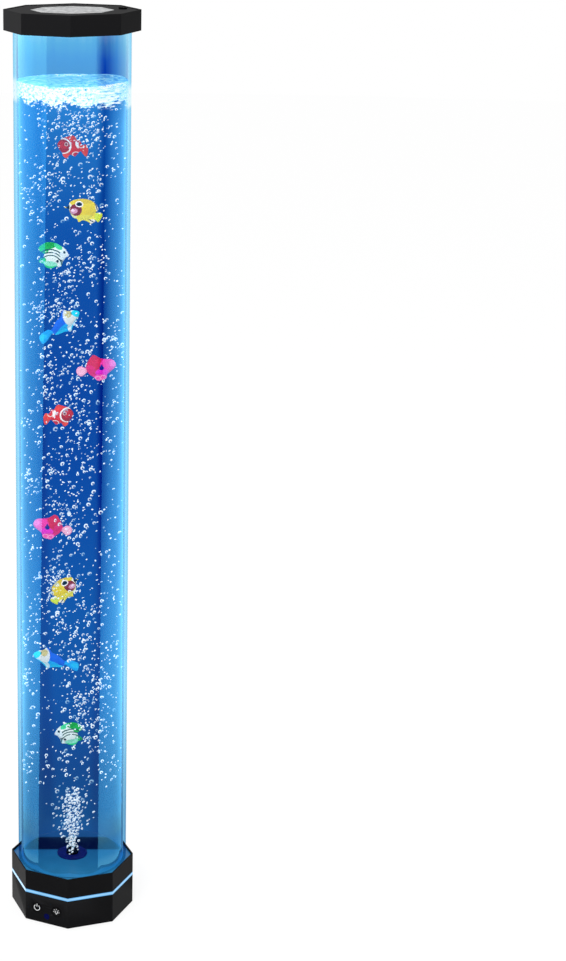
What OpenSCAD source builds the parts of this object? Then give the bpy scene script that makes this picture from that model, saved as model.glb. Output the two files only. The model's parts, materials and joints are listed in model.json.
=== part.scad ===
// Bubble tube floor lamp: an octagonal base with lights and an air pump, a clear tube of water
// with ten floating fish, and a lift-off octagonal cap.
// Z is up, the floor is z = 0, the tube's axis is the Z axis and the buttons face -Y.

/* [Overall] */
// Height from the floor to the top of the cap
total_h = 1240; // [900:10:1600]

/* [Tube and water] */
// Outer diameter of the clear tube
tube_od = 150; // [140:1:200]
// Wall of the clear tube
tube_wall = 4; // [3:0.5:5]
// Air space from the water up to the tube's rim
head_space = 79; // [40:1:150]

/* [Base] */
// Height of the base from the floor to its rim
base_h = 75.5; // [74:0.5:110]
// Distance from the tube out to a flat side of the base
base_margin = 3.6; // [3.2:0.1:8]
// Wall of the two base shells
base_wall = 2.4; // [2:0.1:3]
// Radius of the upright edges of the base and the cap
edge_r = 1; // [0.4:0.1:1.5]
// Width of the rim that stands round the floor plate
rim_w = 1.6; // [1.2:0.1:2]
// Depth of the floor plate below that rim
plate_recess = 3; // [1:0.5:5]
// Thickness of the clear floor plate
plate_t = 6; // [5:0.5:10]
// Thickness of the deck that carries the floor plate
deck_t = 3; // [2:0.5:4]
// Height of the light band's lower edge
band_z = 42.6; // [40:0.2:48]
// Height of the light band
band_h = 4.6; // [3:0.2:7]
// Depth of the light band behind the surface
band_depth = 5; // [3:0.5:6]
// Thickness of the bottom cover
cover_t = 2.4; // [2:0.2:4]

/* [Feet] */
// Diameter of a rubber foot
foot_d = 16; // [12:1:20]
// How far the feet stand below the base
foot_h = 1.5; // [1:0.25:3]
// Depth of a foot's seat in the bottom cover
foot_seat = 1; // [0.5:0.1:1.2]

/* [Nozzle] */
// Diameter of the dome that lets the bubbles out
nozzle_d = 17; // [14:1:24]
// Diameter of the seal under the dome
seal_d = 42; // [30:1:50]
// Thickness of that seal
seal_t = 1.6; // [1:0.2:3]
// Diameter of the nozzle's threaded stem
stem_d = 10; // [8:0.5:12]

/* [Cap] */
// Height of the cap
cap_h = 26.3; // [20:0.5:40]
// Distance from the tube out to a flat side of the cap
cap_margin = 5.4; // [4:0.2:10]
// Wall of the cap
cap_wall = 2.4; // [2:0.1:3]
// Thickness of the cap's top
cap_top_t = 4; // [3:0.5:6]
// Angle that the cap is turned on the tube
cap_turn = 2.75; // [-20:0.25:20]
// Distance across the flats of the silver plate in the cap's top
insert_af = 97.7; // [80:1:110]
// Depth of that plate's seat
insert_t = 1.2; // [0.8:0.1:1.6]
// Thickness of the seal on the tube's rim
gasket_t = 2; // [1:0.5:4]
// Diameter of the vent plug's head
plug_d = 10.8; // [9:0.2:11]
// Height of the vent plug's head
plug_h = 2.4; // [1.5:0.1:4]

/* [Buttons] */
// Diameter of a button
button_d = 12.6; // [11:0.2:13.4]
// Distance between the two buttons
button_gap = 30; // [28:0.5:32]
// Height of the buttons
button_z = 22.5; // [21:0.5:24]
// Travel of a button
button_travel = 0.8; // [0.4:0.1:0.8]
// Diameter of the receiver's window
window_d = 8.6; // [7:0.2:9]
// Height of the receiver's window
window_z = 12; // [11:0.5:12.5]

/* [Power inlet] */
// Bore of the power inlet
inlet_bore = 5.8; // [5.6:0.1:6.4]
// Diameter of the inlet's threaded barrel
inlet_d = 8; // [7.6:0.1:9]
// Height of the inlet
inlet_z = 22.5; // [21:0.5:26]

/* [Air pump] */
// Height of the pump's rubber mounts
mount_h = 5; // [4:0.5:6]
// Thickness of the pump's tray
tray_t = 3; // [2:0.5:3.5]
// Height of the valve box
valve_h = 8; // [7:0.5:8.5]
// Height of the bellows
bellows_h = 10; // [9:0.5:11]
// Diameter of the bellows
bellows_d = 24; // [18:1:26]
// Thickness of the pump's arm
arm_t = 4; // [3:0.5:5]
// Diameter of the arm's pivot pin
pin_d = 3; // [2.5:0.5:4]
// Outer diameter of the air hose
hose_d = 7; // [6.6:0.1:8]
// Bore of the air hose
hose_bore = 4.8; // [4.6:0.1:5.2]
// Radius of the air hose's bend
bend_r = 12; // [11:0.5:13]

/* [Circuit boards] */
// Thickness of every circuit board
board_t = 1.6; // [1:0.2:2]
// Height of the control board's standoffs
standoff_h = 5; // [4:0.5:8]
// Height of the posts that hold the light board off the deck
light_gap = 5; // [4:0.5:6]
// Number of lamps that light the water
chip_count = 24; // [12:2:32]
// Number of lamps that light the band
band_chip_count = 16; // [8:4:24]
// Diameter of a lead
lead_d = 2; // [1.6:0.1:2.4]

/* [Fish] */
// Thickness of every fish
fish_t = 8; // [5:0.5:9]
// Distance between the vertical planes in which the fish float
lane_pitch = 10; // [9.6:0.1:10.4]
// Angle between the front of the base and those planes
swim_angle = 26.65; // [0:0.05:45]
// Length of a red fish
red_len = 40; // [30:0.5:44]
// Length of a yellow fish
yellow_len = 48; // [36:0.5:52]
// Length of a green fish
green_len = 40; // [30:0.5:44]
// Length of a blue fish
blue_len = 64; // [50:0.5:66]
// Length of a pink fish
pink_len = 51.5; // [40:0.5:54]

/* [Bubbles] */
// Number of bubbles that rise through the water
bubble_count = 160; // [40:10:200]
// Radius of the largest bubble
bubble_r = 3.6; // [2:0.1:3.8]
// Number of bubbles in the plume over the nozzle
plume_count = 44; // [10:2:60]
// Height of that plume
plume_h = 88; // [50:1:120]

/* [Hidden] */
$fn = 96;
fit = 0.3; // clearance of parts that drop into each other
touch = 0.05; // gap of round parts that lie against each other

// base, from the floor up
base_af = tube_od + 2 * base_margin;
base_in = base_af / 2 - base_wall;
cover_top = foot_h + cover_t;
band_top = band_z + band_h;
plate_top = base_h - plate_recess;
plate_z = plate_top - plate_t;
deck_z = plate_z - deck_t;

// screws: diameter, length, head diameter, head height
m3 = [3, 8, 5.5, 1.2];
m3_long = [3, 16, 5.5, 2.4];
m2 = [2.5, 5.6, 4.4, 1.5];
slip = 0.1; // extra diameter of a hole round its screw

post_d = 9;
boss_d = 7;
post_r = base_af / 2 - 6.6;
post_turn = 22.5; // corner of the first case post, the others follow at right angles
boss_turn = 67.5; // corner of the first cover boss
boss_h = 10;
foot_r = post_r - 12;
web_t = 2;
post_seat = band_top - 8; // where a case screw's head bears
air_slots = 5; // slots in the bottom cover that let the pump draw air
air_slot = [2.5, 10];
air_slot_pitch = 8;
air_slot_x = 5 - air_slot_pitch * (air_slots - 1) / 2;

// light board under the deck
light_r = post_r - post_d / 2 - 1;
light_post_d = 6;
light_post_r = light_r - light_post_d / 2 - 0.5;
window_r = light_post_r - light_post_d / 2 - 0.5;
light_top = deck_z - light_gap;
light_z = light_top - board_t;
light_bore = 40;
chip_r = window_r - 14;
chip = [5, 5, 1.6];
band_chip_r = light_post_r - 2.5;

// tube, water and cap
tube_r = tube_od / 2;
tube_ir = tube_r - tube_wall;
ceiling = total_h - cap_top_t;
tube_top = ceiling - gasket_t;
water_top = tube_top - head_space;
water_h = water_top - plate_top;
cap_af = tube_od + 2 * cap_margin;
cap_z = total_h - cap_h;
dish = 0.8; // depth of the cap's top inside its rim
dish_rim = 3;
collar_h = 12;
collar_t = 2;
collar_r = tube_ir - 0.4;
plug_stem = 6;
plug_r = collar_r - collar_t - plug_stem / 2 - 0.6;
plug_turn = 35;

// nozzle and air line, from the plate down
seal_top = plate_top + seal_t;
dome_skirt = 1.5;
nut_h = 5;
nut_af = 17;
barb_d = 4.6;
barb_h = 6;
air_bore = 2;
stem_z = plate_z - nut_h - 1.5;
nozzle_z = stem_z - barb_h;
valve_body_h = 10;
valve_body_d = 12;
check_top = nozzle_z - 1;
check_z = check_top - 2 * barb_h - valve_body_h;

// air pump
tray_z = cover_top + mount_h;
tray_top = tray_z + tray_t;
valve_top = tray_top + valve_h;
outlet_z = tray_top + valve_h / 2;
outlet_l = 5;
valve_box = [34, 26];
pump_x = -6;
pump_y = -(bend_r + outlet_l + valve_box[1] / 2);
arm_z = valve_top + bellows_h;
arm_mid = arm_z + arm_t / 2;
arm_w = 12;
pivot_x = pump_x - 22;
magnet = [8, 12, 12];
magnet_x = pump_x + 32;
core_x = magnet_x + magnet[0] + 2;
leg_l = 16;
leg_t = 6;
slot_t = 5;
core_w = 14;
core_h = 3 * leg_t + 2 * slot_t;
core_z = arm_mid - core_h / 2;
coil_t = 4.3;
coil_l = 12;
tray_w = 28;
tray_x = [pivot_x - 8, core_x + leg_l + 2];
ear_t = 3;
ear_w = 8;
mount_d = 8;

// front wall
wall_y = -base_in;
face_y = -base_af / 2;
dimple = 0.8; // depth of the dish round each button
flange_r = button_d / 2 + 1.2;
flange_t = 1.2;
switch_body = [6, 3.5, 6];
plunger_d = 3.4;
plunger_l = 3;
plunger_out = 1.6; // how far a plunger stands out of its switch at rest
switch_y = wall_y + 6.7; // front of the switch bodies
panel_y = switch_y + switch_body[1];
panel_w = 41;
panel_post_x = 17.5;
panel_post_d = 5;
panel_post_z = button_z + flange_r + 1.5 + panel_post_d / 2;
panel_z = [window_z - 4.5, panel_post_z + 3];

// control board and power inlet
board = [72, 40];
board_back = base_in - 20.2;
board_front = board_back - board[1];
board_z = cover_top + standoff_h;
board_top = board_z + board_t;
plug_body = [8, 6, 7];
front_plugs = [-24, -8, 8];
back_plug_y = board_back - 7;
inlet_l = 10;
inlet_flange = [11, 1.2];

// ---------- shared shapes ----------

// Corners of an octagon with flats square to X and Y, each corner rounded by a short arc
function octagon_points(af, r) = [
    for (k = [0 : 7], j = [0 : 4])
    let (c = (af / 2 - r) / cos(22.5), w = 45 * k + 45 * j / 4)
    [c * cos(45 * k + 22.5) + r * cos(w), c * sin(45 * k + 22.5) + r * sin(w)]
];

module prism(af, z0, z1, r = edge_r) {
    translate([0, 0, z0])
    linear_extrude(z1 - z0)
    polygon(octagon_points(af, r));
}

module ring(outer_d, inner_d, h) {
    difference() {
        cylinder(d = outer_d, h = h);
        translate([0, 0, -1]) cylinder(d = inner_d, h = h + 2);
    }
}

// Four copies at a radius, a quarter turn apart
module four(r, turn) {
    for (k = [0 : 3]) rotate(turn + 90 * k) translate([r, 0, 0]) children();
}

// A screw that points up, with its head's bearing face at z = 0
module screw(size) {
    cylinder(d = size[0], h = size[1], $fn = 32);
    difference() {
        translate([0, 0, -size[3]]) cylinder(d = size[2], h = size[3], $fn = 32);
        translate([0, 0, -size[3] - 1])
        cylinder(d = size[2] * 0.5, h = 1 + size[3] * 0.6, $fn = 6);
    }
}

// Four posts in the corners of a shell, each with a web into the corner up to web_top
module corner_posts(d, turn, z0, z1, web_top) {
    four(post_r, turn) {
        translate([0, 0, z0]) cylinder(d = d, h = z1 - z0, $fn = 48);
        translate([0, -web_t / 2, z0])
        cube([base_in / cos(22.5) + base_wall / 3 - post_r, web_t, web_top - z0]);
    }
}

// ---------- base shells ----------

module base_lower_shell() {
    color("#1c1c1e")
    difference() {
        union() {
            difference() {
                prism(base_af, foot_h, band_z);
                prism(2 * base_in, foot_h - 1, band_z + 1);
            }
            difference() {
                corner_posts(post_d, post_turn, cover_top, band_top, band_z);
                four(post_r, post_turn) {
                    translate([0, 0, cover_top - 1])
                    cylinder(d = m3_long[2] + 0.8, h = post_seat - cover_top + 1, $fn = 48);
                    cylinder(d = m3_long[0] + slip, h = band_top + 1, $fn = 32);
                }
            }
            difference() {
                corner_posts(boss_d, boss_turn, cover_top, cover_top + boss_h, cover_top + boss_h);
                four(post_r, boss_turn)
                cylinder(d = m3[0] + slip, h = cover_top + boss_h - 1, $fn = 32);
            }
            for (x = [-panel_post_x, panel_post_x])
            translate([x, wall_y - 0.5, panel_post_z]) rotate([-90, 0, 0])
            cylinder(d = panel_post_d, h = panel_y - wall_y + 0.5, $fn = 32);
        }
        for (x = [-panel_post_x, panel_post_x])
        translate([x, panel_y - m2[1] + board_t - 0.5, panel_post_z]) rotate([-90, 0, 0])
        cylinder(d = m2[0] + slip, h = m2[1] + 5, $fn = 32);
        for (x = [-button_gap / 2, button_gap / 2]) translate([x, 0, button_z]) {
            translate([0, face_y - 1, 0]) rotate([-90, 0, 0])
            cylinder(d = button_d + fit, h = base_wall + 2);
            translate([0, face_y - 1, 0]) rotate([-90, 0, 0])
            cylinder(d = button_d + 3, h = 1 + dimple);
        }
        translate([0, face_y - 1, window_z]) rotate([-90, 0, 0])
        cylinder(d = window_d, h = base_wall + 2);
        translate([0, base_in - 1, inlet_z]) rotate([-90, 0, 0])
        cylinder(d = inlet_d + slip, h = base_wall + 2);
    }
}

module light_band() {
    color("#8fd0ff")
    difference() {
        prism(base_af, band_z, band_top);
        prism(base_af - 2 * band_depth, band_z - 1, band_top + 1);
    }
}

module base_upper_shell() {
    color("#1c1c1e")
    difference() {
        union() {
            difference() {
                prism(base_af, band_top, base_h);
                prism(base_af - 2 * rim_w, plate_z, base_h + 1);
                prism(2 * base_in, band_top - 1, deck_z);
            }
            corner_posts(post_d, post_turn, band_top, deck_z + 0.5, deck_z + 0.5);
            four(light_post_r, boss_turn) translate([0, 0, light_top])
            cylinder(d = light_post_d, h = light_gap + 0.5, $fn = 48);
        }
        translate([0, 0, deck_z - 1]) cylinder(r = window_r, h = deck_t + 2);
        four(post_r, post_turn) translate([0, 0, band_top - 1])
        cylinder(d = m3_long[0] + slip, h = m3_long[1] - 8 + 1.5, $fn = 32);
        four(light_post_r, boss_turn) translate([0, 0, light_top - 1])
        cylinder(d = m2[0] + slip, h = m2[1] - board_t + 1.5, $fn = 32);
    }
}

module bottom_cover() {
    color("#202022")
    difference() {
        union() {
            prism(2 * base_in - 2 * fit, foot_h, cover_top);
            board_holes() translate([0, 0, cover_top - 0.5])
            cylinder(d = 6, h = standoff_h + 0.5, $fn = 32);
        }
        board_holes() translate([0, 0, board_top - m2[1] - 0.5])
        cylinder(d = m2[0] + slip, h = m2[1] + 1, $fn = 32);
        four(post_r, boss_turn) {
            translate([0, 0, foot_h - 1])
            cylinder(d = m3[2] + 0.5, h = 1 + m3[3] + 0.1, $fn = 48);
            cylinder(d = m3[0] + fit, h = cover_top + 1, $fn = 32);
        }
        four(foot_r, post_turn) translate([0, 0, foot_h - 1])
        cylinder(d = foot_d + slip, h = 1 + foot_seat, $fn = 64);
        for (k = [0 : air_slots - 1])
        translate([air_slot_x + air_slot_pitch * k, 2, foot_h - 1])
        cube([air_slot[0], air_slot[1], cover_t + 2]);
    }
}

module rubber_feet() {
    color("#111111")
    four(foot_r, post_turn) cylinder(d = foot_d, h = foot_h + foot_seat, $fn = 64);
}

module cover_screws() {
    color("#77797c")
    four(post_r, boss_turn) translate([0, 0, foot_h + m3[3] + 0.1]) screw(m3);
}

module case_screws() {
    color("#77797c")
    four(post_r, post_turn) translate([0, 0, post_seat]) screw(m3_long);
}

// ---------- front buttons and receiver ----------

// A button at rest: its face is level with the wall round its dish
module button(x) {
    color("#161618")
    translate([x, 0, button_z]) rotate([-90, 0, 0]) {
        translate([0, 0, face_y]) cylinder(d = button_d, h = base_wall + slip + flange_t / 2);
        translate([0, 0, wall_y + slip]) cylinder(r = flange_r, h = flange_t);
        translate([0, 0, wall_y]) cylinder(d = 4, h = switch_y - plunger_out - wall_y, $fn = 32);
    }
}

module plunger(x) {
    color("#d8d8d0")
    translate([x, switch_y - plunger_out, button_z]) rotate([-90, 0, 0])
    cylinder(d = plunger_d, h = plunger_l, $fn = 32);
}

module power_button() button(-button_gap / 2);
module light_button() button(button_gap / 2);
module power_plunger() plunger(-button_gap / 2);
module light_plunger() plunger(button_gap / 2);

module tact_switches() {
    bore_l = plunger_l - plunger_out + button_travel + 0.4;
    color("#303034")
    for (x = [-button_gap / 2, button_gap / 2])
    difference() {
        translate([x - switch_body[0] / 2, switch_y, button_z - switch_body[2] / 2])
        cube(switch_body);
        translate([x, switch_y - 1, button_z]) rotate([-90, 0, 0])
        cylinder(d = plunger_d + 2 * slip, h = 1 + bore_l, $fn = 32);
    }
}

module button_board() {
    color("#1f6b3a")
    difference() {
        translate([-panel_w / 2, panel_y, panel_z[0]])
        cube([panel_w, board_t, panel_z[1] - panel_z[0]]);
        for (x = [-panel_post_x, panel_post_x])
        translate([x, panel_y - 1, panel_post_z]) rotate([-90, 0, 0])
        cylinder(d = m2[0] + 2 * slip, h = board_t + 2, $fn = 32);
    }
}

module receiver_window() {
    color("#101a5a")
    translate([0, 0, window_z]) rotate([-90, 0, 0]) {
        translate([0, 0, face_y + 0.2]) cylinder(d = window_d - slip, h = base_wall);
        translate([0, 0, wall_y]) cylinder(d = window_d + 2.4, h = 1);
    }
}

module receiver() {
    color("#26262a")
    intersection() {
        union() {
            translate([-3, panel_y - 4, window_z - 3]) cube([6, 4, 6]);
            translate([0, panel_y - 4, window_z]) sphere(r = 2, $fn = 32);
        }
        translate([-3, panel_y - 7, window_z - 3]) cube([6, 7, 6]);
    }
}

// ---------- control board and power inlet ----------

module board_holes() {
    for (x = [-board[0] / 2 + 4, board[0] / 2 - 4], y = [board_front + 4, board_back - 4])
    translate([x, y, 0]) children();
}

module control_board() {
    color("#1f6b3a")
    difference() {
        translate([-board[0] / 2, board_front, board_z]) cube([board[0], board[1], board_t]);
        board_holes() translate([0, 0, board_z - 1])
        cylinder(d = m2[0] + 2 * slip, h = board_t + 2, $fn = 32);
    }
}

// The ten small screws that hold the three circuit boards
module board_screws() {
    color("#9a9c9e") {
        board_holes() translate([0, 0, board_top]) rotate([180, 0, 0]) screw(m2);
        four(light_post_r, boss_turn) translate([0, 0, light_z]) screw(m2);
        for (x = [-panel_post_x, panel_post_x])
        translate([x, panel_y + board_t, panel_post_z]) rotate([90, 0, 0]) screw(m2);
    }
}

module capacitors() {
    for (y = [11, 24])
    translate([22, board_front + y, board_top]) {
        color("#24305c") cylinder(d = 10, h = 15, $fn = 48);
        color("#b8babc") cylinder(d = 8, h = 15.4, $fn = 48);
    }
}

module driver_chips() {
    color("#18181a") {
        translate([-6, board_front + 14, board_top]) cube([12, 12, 2]);
        translate([-30, board_front + 16, board_top]) cube([14, 14, 11]);
    }
}

module board_plugs() {
    color("#e8e6de") {
        for (x = front_plugs)
        translate([x - plug_body[0] / 2, board_front + 3, board_top]) cube(plug_body);
        translate([-plug_body[0] / 2, back_plug_y - plug_body[1] / 2, board_top]) cube(plug_body);
    }
}

module power_inlet() {
    color("#19191b")
    translate([0, 0, inlet_z]) rotate([-90, 0, 0])
    difference() {
        union() {
            translate([0, 0, base_in - inlet_l])
            cylinder(d = inlet_d, h = inlet_l + base_wall + 0.2, $fn = 64);
            translate([0, 0, base_in + base_wall])
            cylinder(d = inlet_flange[0], h = inlet_flange[1], $fn = 64);
            for (s = [-1, 1]) translate([2.2 * s - 0.4, -1.5, base_in - inlet_l - 3])
            cube([0.8, 3, 3.5]);
        }
        translate([0, 0, base_in - inlet_l + 2])
        difference() {
            cylinder(d = inlet_bore, h = inlet_l + base_wall, $fn = 64);
            translate([0, 0, -1]) cylinder(d = 2, h = inlet_l + base_wall, $fn = 32);
        }
    }
}

module inlet_nut() {
    color("#b4b6b8")
    translate([0, base_in - 2.5, inlet_z]) rotate([-90, 0, 0])
    difference() {
        cylinder(d = inlet_d + 3.6, h = 2.5, $fn = 6);
        translate([0, 0, -1]) cylinder(d = inlet_d + slip, h = 5, $fn = 64);
    }
}

// ---------- lights ----------

module light_board() {
    color("#f2f2ee")
    difference() {
        translate([0, 0, light_z]) ring(2 * light_r, light_bore, board_t);
        four(light_post_r, boss_turn) translate([0, 0, light_z - 1])
        cylinder(d = m2[0] + 2 * slip, h = board_t + 2, $fn = 32);
    }
}

module water_lights() {
    color("#f5e9a0")
    for (k = [0 : chip_count - 1])
    rotate(360 * k / chip_count) translate([chip_r - chip[0] / 2, -chip[1] / 2, light_top])
    cube(chip);
}

module band_lights() {
    color("#f5e9a0")
    for (k = [0 : band_chip_count - 1])
    rotate(360 * (k + 0.5) / band_chip_count)
    translate([band_chip_r - chip[0] / 2, -chip[1] / 2, light_z - chip[2]])
    cube(chip);
}

// ---------- air pump ----------

module pump_mounts() {
    color("#141414")
    for (x = [tray_x[0] + 7, tray_x[1] - 7], y = [-8, 8])
    translate([x, pump_y + y, cover_top]) cylinder(d = mount_d, h = mount_h, $fn = 48);
}

module pump_tray() {
    color("#dcdcd6")
    difference() {
        union() {
            translate([tray_x[0], pump_y - tray_w / 2, tray_z])
            cube([tray_x[1] - tray_x[0], tray_w, tray_t]);
            for (s = [-1, 1])
            translate([pivot_x, pump_y + s * (arm_w / 2 + 0.4 + ear_t / 2), 0]) {
                translate([-ear_w / 2, -ear_t / 2, tray_z])
                cube([ear_w, ear_t, arm_mid - tray_z]);
                translate([0, ear_t / 2, arm_mid]) rotate([90, 0, 0])
                cylinder(d = ear_w, h = ear_t, $fn = 48);
            }
            translate([core_x + 2, pump_y - core_w / 2, tray_z])
            cube([leg_l - 2, core_w, core_z - tray_z]);
        }
        translate([pivot_x, pump_y + tray_w, arm_mid]) rotate([90, 0, 0])
        cylinder(d = pin_d + touch, h = 2 * tray_w, $fn = 48);
    }
}

module pivot_pin() {
    color("#c4c6c8")
    translate([pivot_x, pump_y + arm_w / 2 + ear_t + 0.6, arm_mid]) rotate([90, 0, 0])
    cylinder(d = pin_d, h = arm_w + 2 * ear_t + 1.2, $fn = 48);
}

// Iron core with three legs that point at the magnet
module pump_core() {
    color("#5a5c60")
    translate([core_x, pump_y - core_w / 2, core_z])
    difference() {
        cube([leg_l + 6, core_w, core_h]);
        for (z = [leg_t, 2 * leg_t + slot_t])
        translate([-1, -1, z]) cube([leg_l + 1, core_w + 2, slot_t]);
    }
}

module pump_coil() {
    color("#b5632a")
    translate([core_x + 2, pump_y, arm_mid])
    difference() {
        translate([0, -core_w / 2 - coil_t, -leg_t / 2 - coil_t])
        cube([coil_l, core_w + 2 * coil_t, leg_t + 2 * coil_t]);
        translate([-1, -core_w / 2 - slip, -leg_t / 2 - slip])
        cube([coil_l + 2, core_w + 2 * slip, leg_t + 2 * slip]);
    }
}

module pump_arm() {
    color("#ecece4")
    difference() {
        union() {
            translate([pivot_x, pump_y - arm_w / 2, arm_z])
            cube([magnet_x - pivot_x, arm_w, arm_t]);
            translate([pivot_x, pump_y + arm_w / 2, arm_mid]) rotate([90, 0, 0])
            cylinder(d = ear_w, h = arm_w, $fn = 48);
        }
        translate([pivot_x, pump_y + arm_w, arm_mid]) rotate([90, 0, 0])
        cylinder(d = pin_d + 2 * touch, h = 2 * arm_w, $fn = 48);
    }
}

module pump_magnet() {
    color("#3c3e42")
    translate([magnet_x, pump_y - magnet[1] / 2, arm_mid - magnet[2] / 2]) cube(magnet);
}

// Rubber bellows: a hollow cup with one fold, closed by the pad that the arm presses
module pump_bellows() {
    color("#2b2b2d")
    translate([pump_x, pump_y, valve_top])
    rotate_extrude()
    polygon([
        [bellows_d / 2 - 2, 0], [bellows_d / 2, 0], [bellows_d / 2, 2],
        [bellows_d / 2 - 2.5, 4], [bellows_d / 2 - 0.5, 6], [5, bellows_h],
        [0, bellows_h], [0, bellows_h - 1.6], [4.5, bellows_h - 1.6],
        [bellows_d / 2 - 2.6, 5.6], [bellows_d / 2 - 4.4, 4], [bellows_d / 2 - 2, 1.8]
    ]);
}

module valve_box() {
    color("#c8cac4")
    difference() {
        union() {
            translate([pump_x - valve_box[0] / 2, pump_y - valve_box[1] / 2, tray_top])
            cube([valve_box[0], valve_box[1], valve_h]);
            translate([0, pump_y + valve_box[1] / 2 - 0.5, outlet_z]) rotate([-90, 0, 0])
            cylinder(d = barb_d, h = outlet_l + 0.5, $fn = 48);
        }
        translate([0, pump_y, outlet_z]) rotate([-90, 0, 0])
        cylinder(d = air_bore, h = valve_box[1], $fn = 32);
        translate([pump_x, pump_y, outlet_z - 1]) cylinder(d = 8, h = valve_h, $fn = 48);
    }
}

// ---------- air line ----------

// Rises from the valve box's outlet to the check valve
module lower_hose() {
    color("#d8e4ea") {
        translate([0, -bend_r, outlet_z + bend_r]) rotate([0, 90, 0]) rotate([0, 0, 90])
        rotate([180, 0, 0]) hose_bend();
        translate([0, pump_y + valve_box[1] / 2 + 0.2, outlet_z]) rotate([-90, 0, 0])
        ring(hose_d, hose_bore, outlet_l - 0.2);
        translate([0, 0, outlet_z + bend_r])
        ring(hose_d, hose_bore, check_z + barb_h - 0.5 - outlet_z - bend_r);
    }
}

// A quarter turn of hose in the XY plane, from +X round to +Y
module hose_bend() {
    rotate_extrude(angle = 90) translate([bend_r, 0])
    difference() {
        circle(d = hose_d, $fn = 48);
        circle(d = hose_bore, $fn = 48);
    }
}

module check_valve() {
    color("#e6e8ea")
    translate([0, 0, check_z])
    difference() {
        union() {
            cylinder(d = barb_d, h = 2 * barb_h + valve_body_h, $fn = 48);
            translate([0, 0, barb_h]) cylinder(d = valve_body_d, h = valve_body_h, $fn = 48);
        }
        translate([0, 0, -1]) cylinder(d = air_bore, h = 2 * barb_h + valve_body_h + 2, $fn = 32);
        translate([0, 0, barb_h + 2]) cylinder(d = 6, h = valve_body_h - 4, $fn = 48);
    }
}

module upper_hose() {
    color("#d8e4ea")
    translate([0, 0, check_top - barb_h + 0.5])
    ring(hose_d, hose_bore, nozzle_z - check_top + 2 * barb_h - 1);
}

// ---------- wiring ----------

function unit(v) = v / norm(v);
function curve(a, b, c, d, t) =
    0.5 * (2 * b + (c - a) * t + (2 * a - 5 * b + 4 * c - d) * t * t
    + (3 * b - a - 3 * c + d) * t * t * t);
function smooth_line(p, n = 3) = concat(
    [for (i = [0 : len(p) - 2], j = [0 : n - 1])
        curve(p[max(i - 1, 0)], p[i], p[i + 1], p[min(i + 2, len(p) - 1)], j / n)],
    [p[len(p) - 1]]);
function headings(p, route) = concat(
    [unit(route[1] - route[0])],
    [for (i = [1 : len(p) - 2]) unit(p[i + 1] - p[i - 1])],
    [unit(route[len(route) - 1] - route[len(route) - 2])]);
function sides_of(t, n, i = 0) =
    i == len(t) ? [] :
    let (m = unit(n - (n * t[i]) * t[i])) concat([m], sides_of(t, m, i + 1));

// A lead along a route: one tube of six sides
module lead(route, side) {
    p = smooth_line(route);
    t = headings(p, route);
    m = sides_of(t, side);
    n = 6;
    points = [
        for (i = [0 : len(p) - 1], k = [0 : n - 1])
        p[i] + lead_d / 2 * (cos(360 * k / n) * m[i] + sin(360 * k / n) * cross(t[i], m[i]))
    ];
    faces = concat(
        [[for (k = [0 : n - 1]) k]],
        [[for (k = [n - 1 : -1 : 0]) (len(p) - 1) * n + k]],
        [for (i = [0 : len(p) - 2], k = [0 : n - 1]) [i * n + k, (i + 1) * n + k, i * n + (k + 1) % n]],
        [for (i = [0 : len(p) - 2], k = [0 : n - 1])
            [(i + 1) * n + k, (i + 1) * n + (k + 1) % n, i * n + (k + 1) % n]]
    );
    polyhedron(points, faces);
}

module wiring() {
    plug_top = board_top + plug_body[2];
    plug_y = board_front + 6;
    back_y = panel_y + board_t;
    coil_y = pump_y + core_w / 2 + coil_t;
    coil_x = core_x + 8;
    color("#303034") {
        // button board
        lead([
            [front_plugs[0], plug_y, plug_top], [front_plugs[0], plug_y, plug_top + 5],
            [-30, 12, 26], [-44, -2, 22], [-48, -24, 14], [-42, -48, 12],
            [-28, back_y + 7, 13], [-14, back_y + 6, 14], [-12, back_y + 4, 14],
            [-12, back_y, 14]
        ], [1, 0, 0]);
        // light board
        lead([
            [front_plugs[1], plug_y, plug_top], [front_plugs[1], plug_y, plug_top + 6],
            [-12, plug_y + 4, 34], [-16, plug_y + 8, light_z - 12], [-16, plug_y + 8, light_z - 5],
            [-16, plug_y + 8, light_z]
        ], [1, 0, 0]);
        // pump coil
        lead([
            [front_plugs[2], plug_y, plug_top], [front_plugs[2], plug_y, plug_top + 5],
            [14, plug_y - 7, 29], [30, 0, 31], [coil_x, coil_y + 12, arm_mid],
            [coil_x, coil_y + 6, arm_mid], [coil_x, coil_y, arm_mid]
        ], [1, 0, 0]);
        // power inlet
        lead([
            [0, base_in - inlet_l, inlet_z], [0, base_in - inlet_l - 5, inlet_z],
            [0, back_plug_y + 3, inlet_z - 0.5], [0, back_plug_y, plug_top + 2.5],
            [0, back_plug_y, plug_top]
        ], [1, 0, 0]);
    }
}

// ---------- tube, floor and nozzle ----------

module floor_plate() {
    color("#3a86c4")
    difference() {
        prism(base_af - 2 * rim_w - 2 * fit, plate_z, plate_top);
        translate([0, 0, plate_z - 1]) cylinder(d = stem_d + slip, h = plate_t + 2);
    }
}

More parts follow.
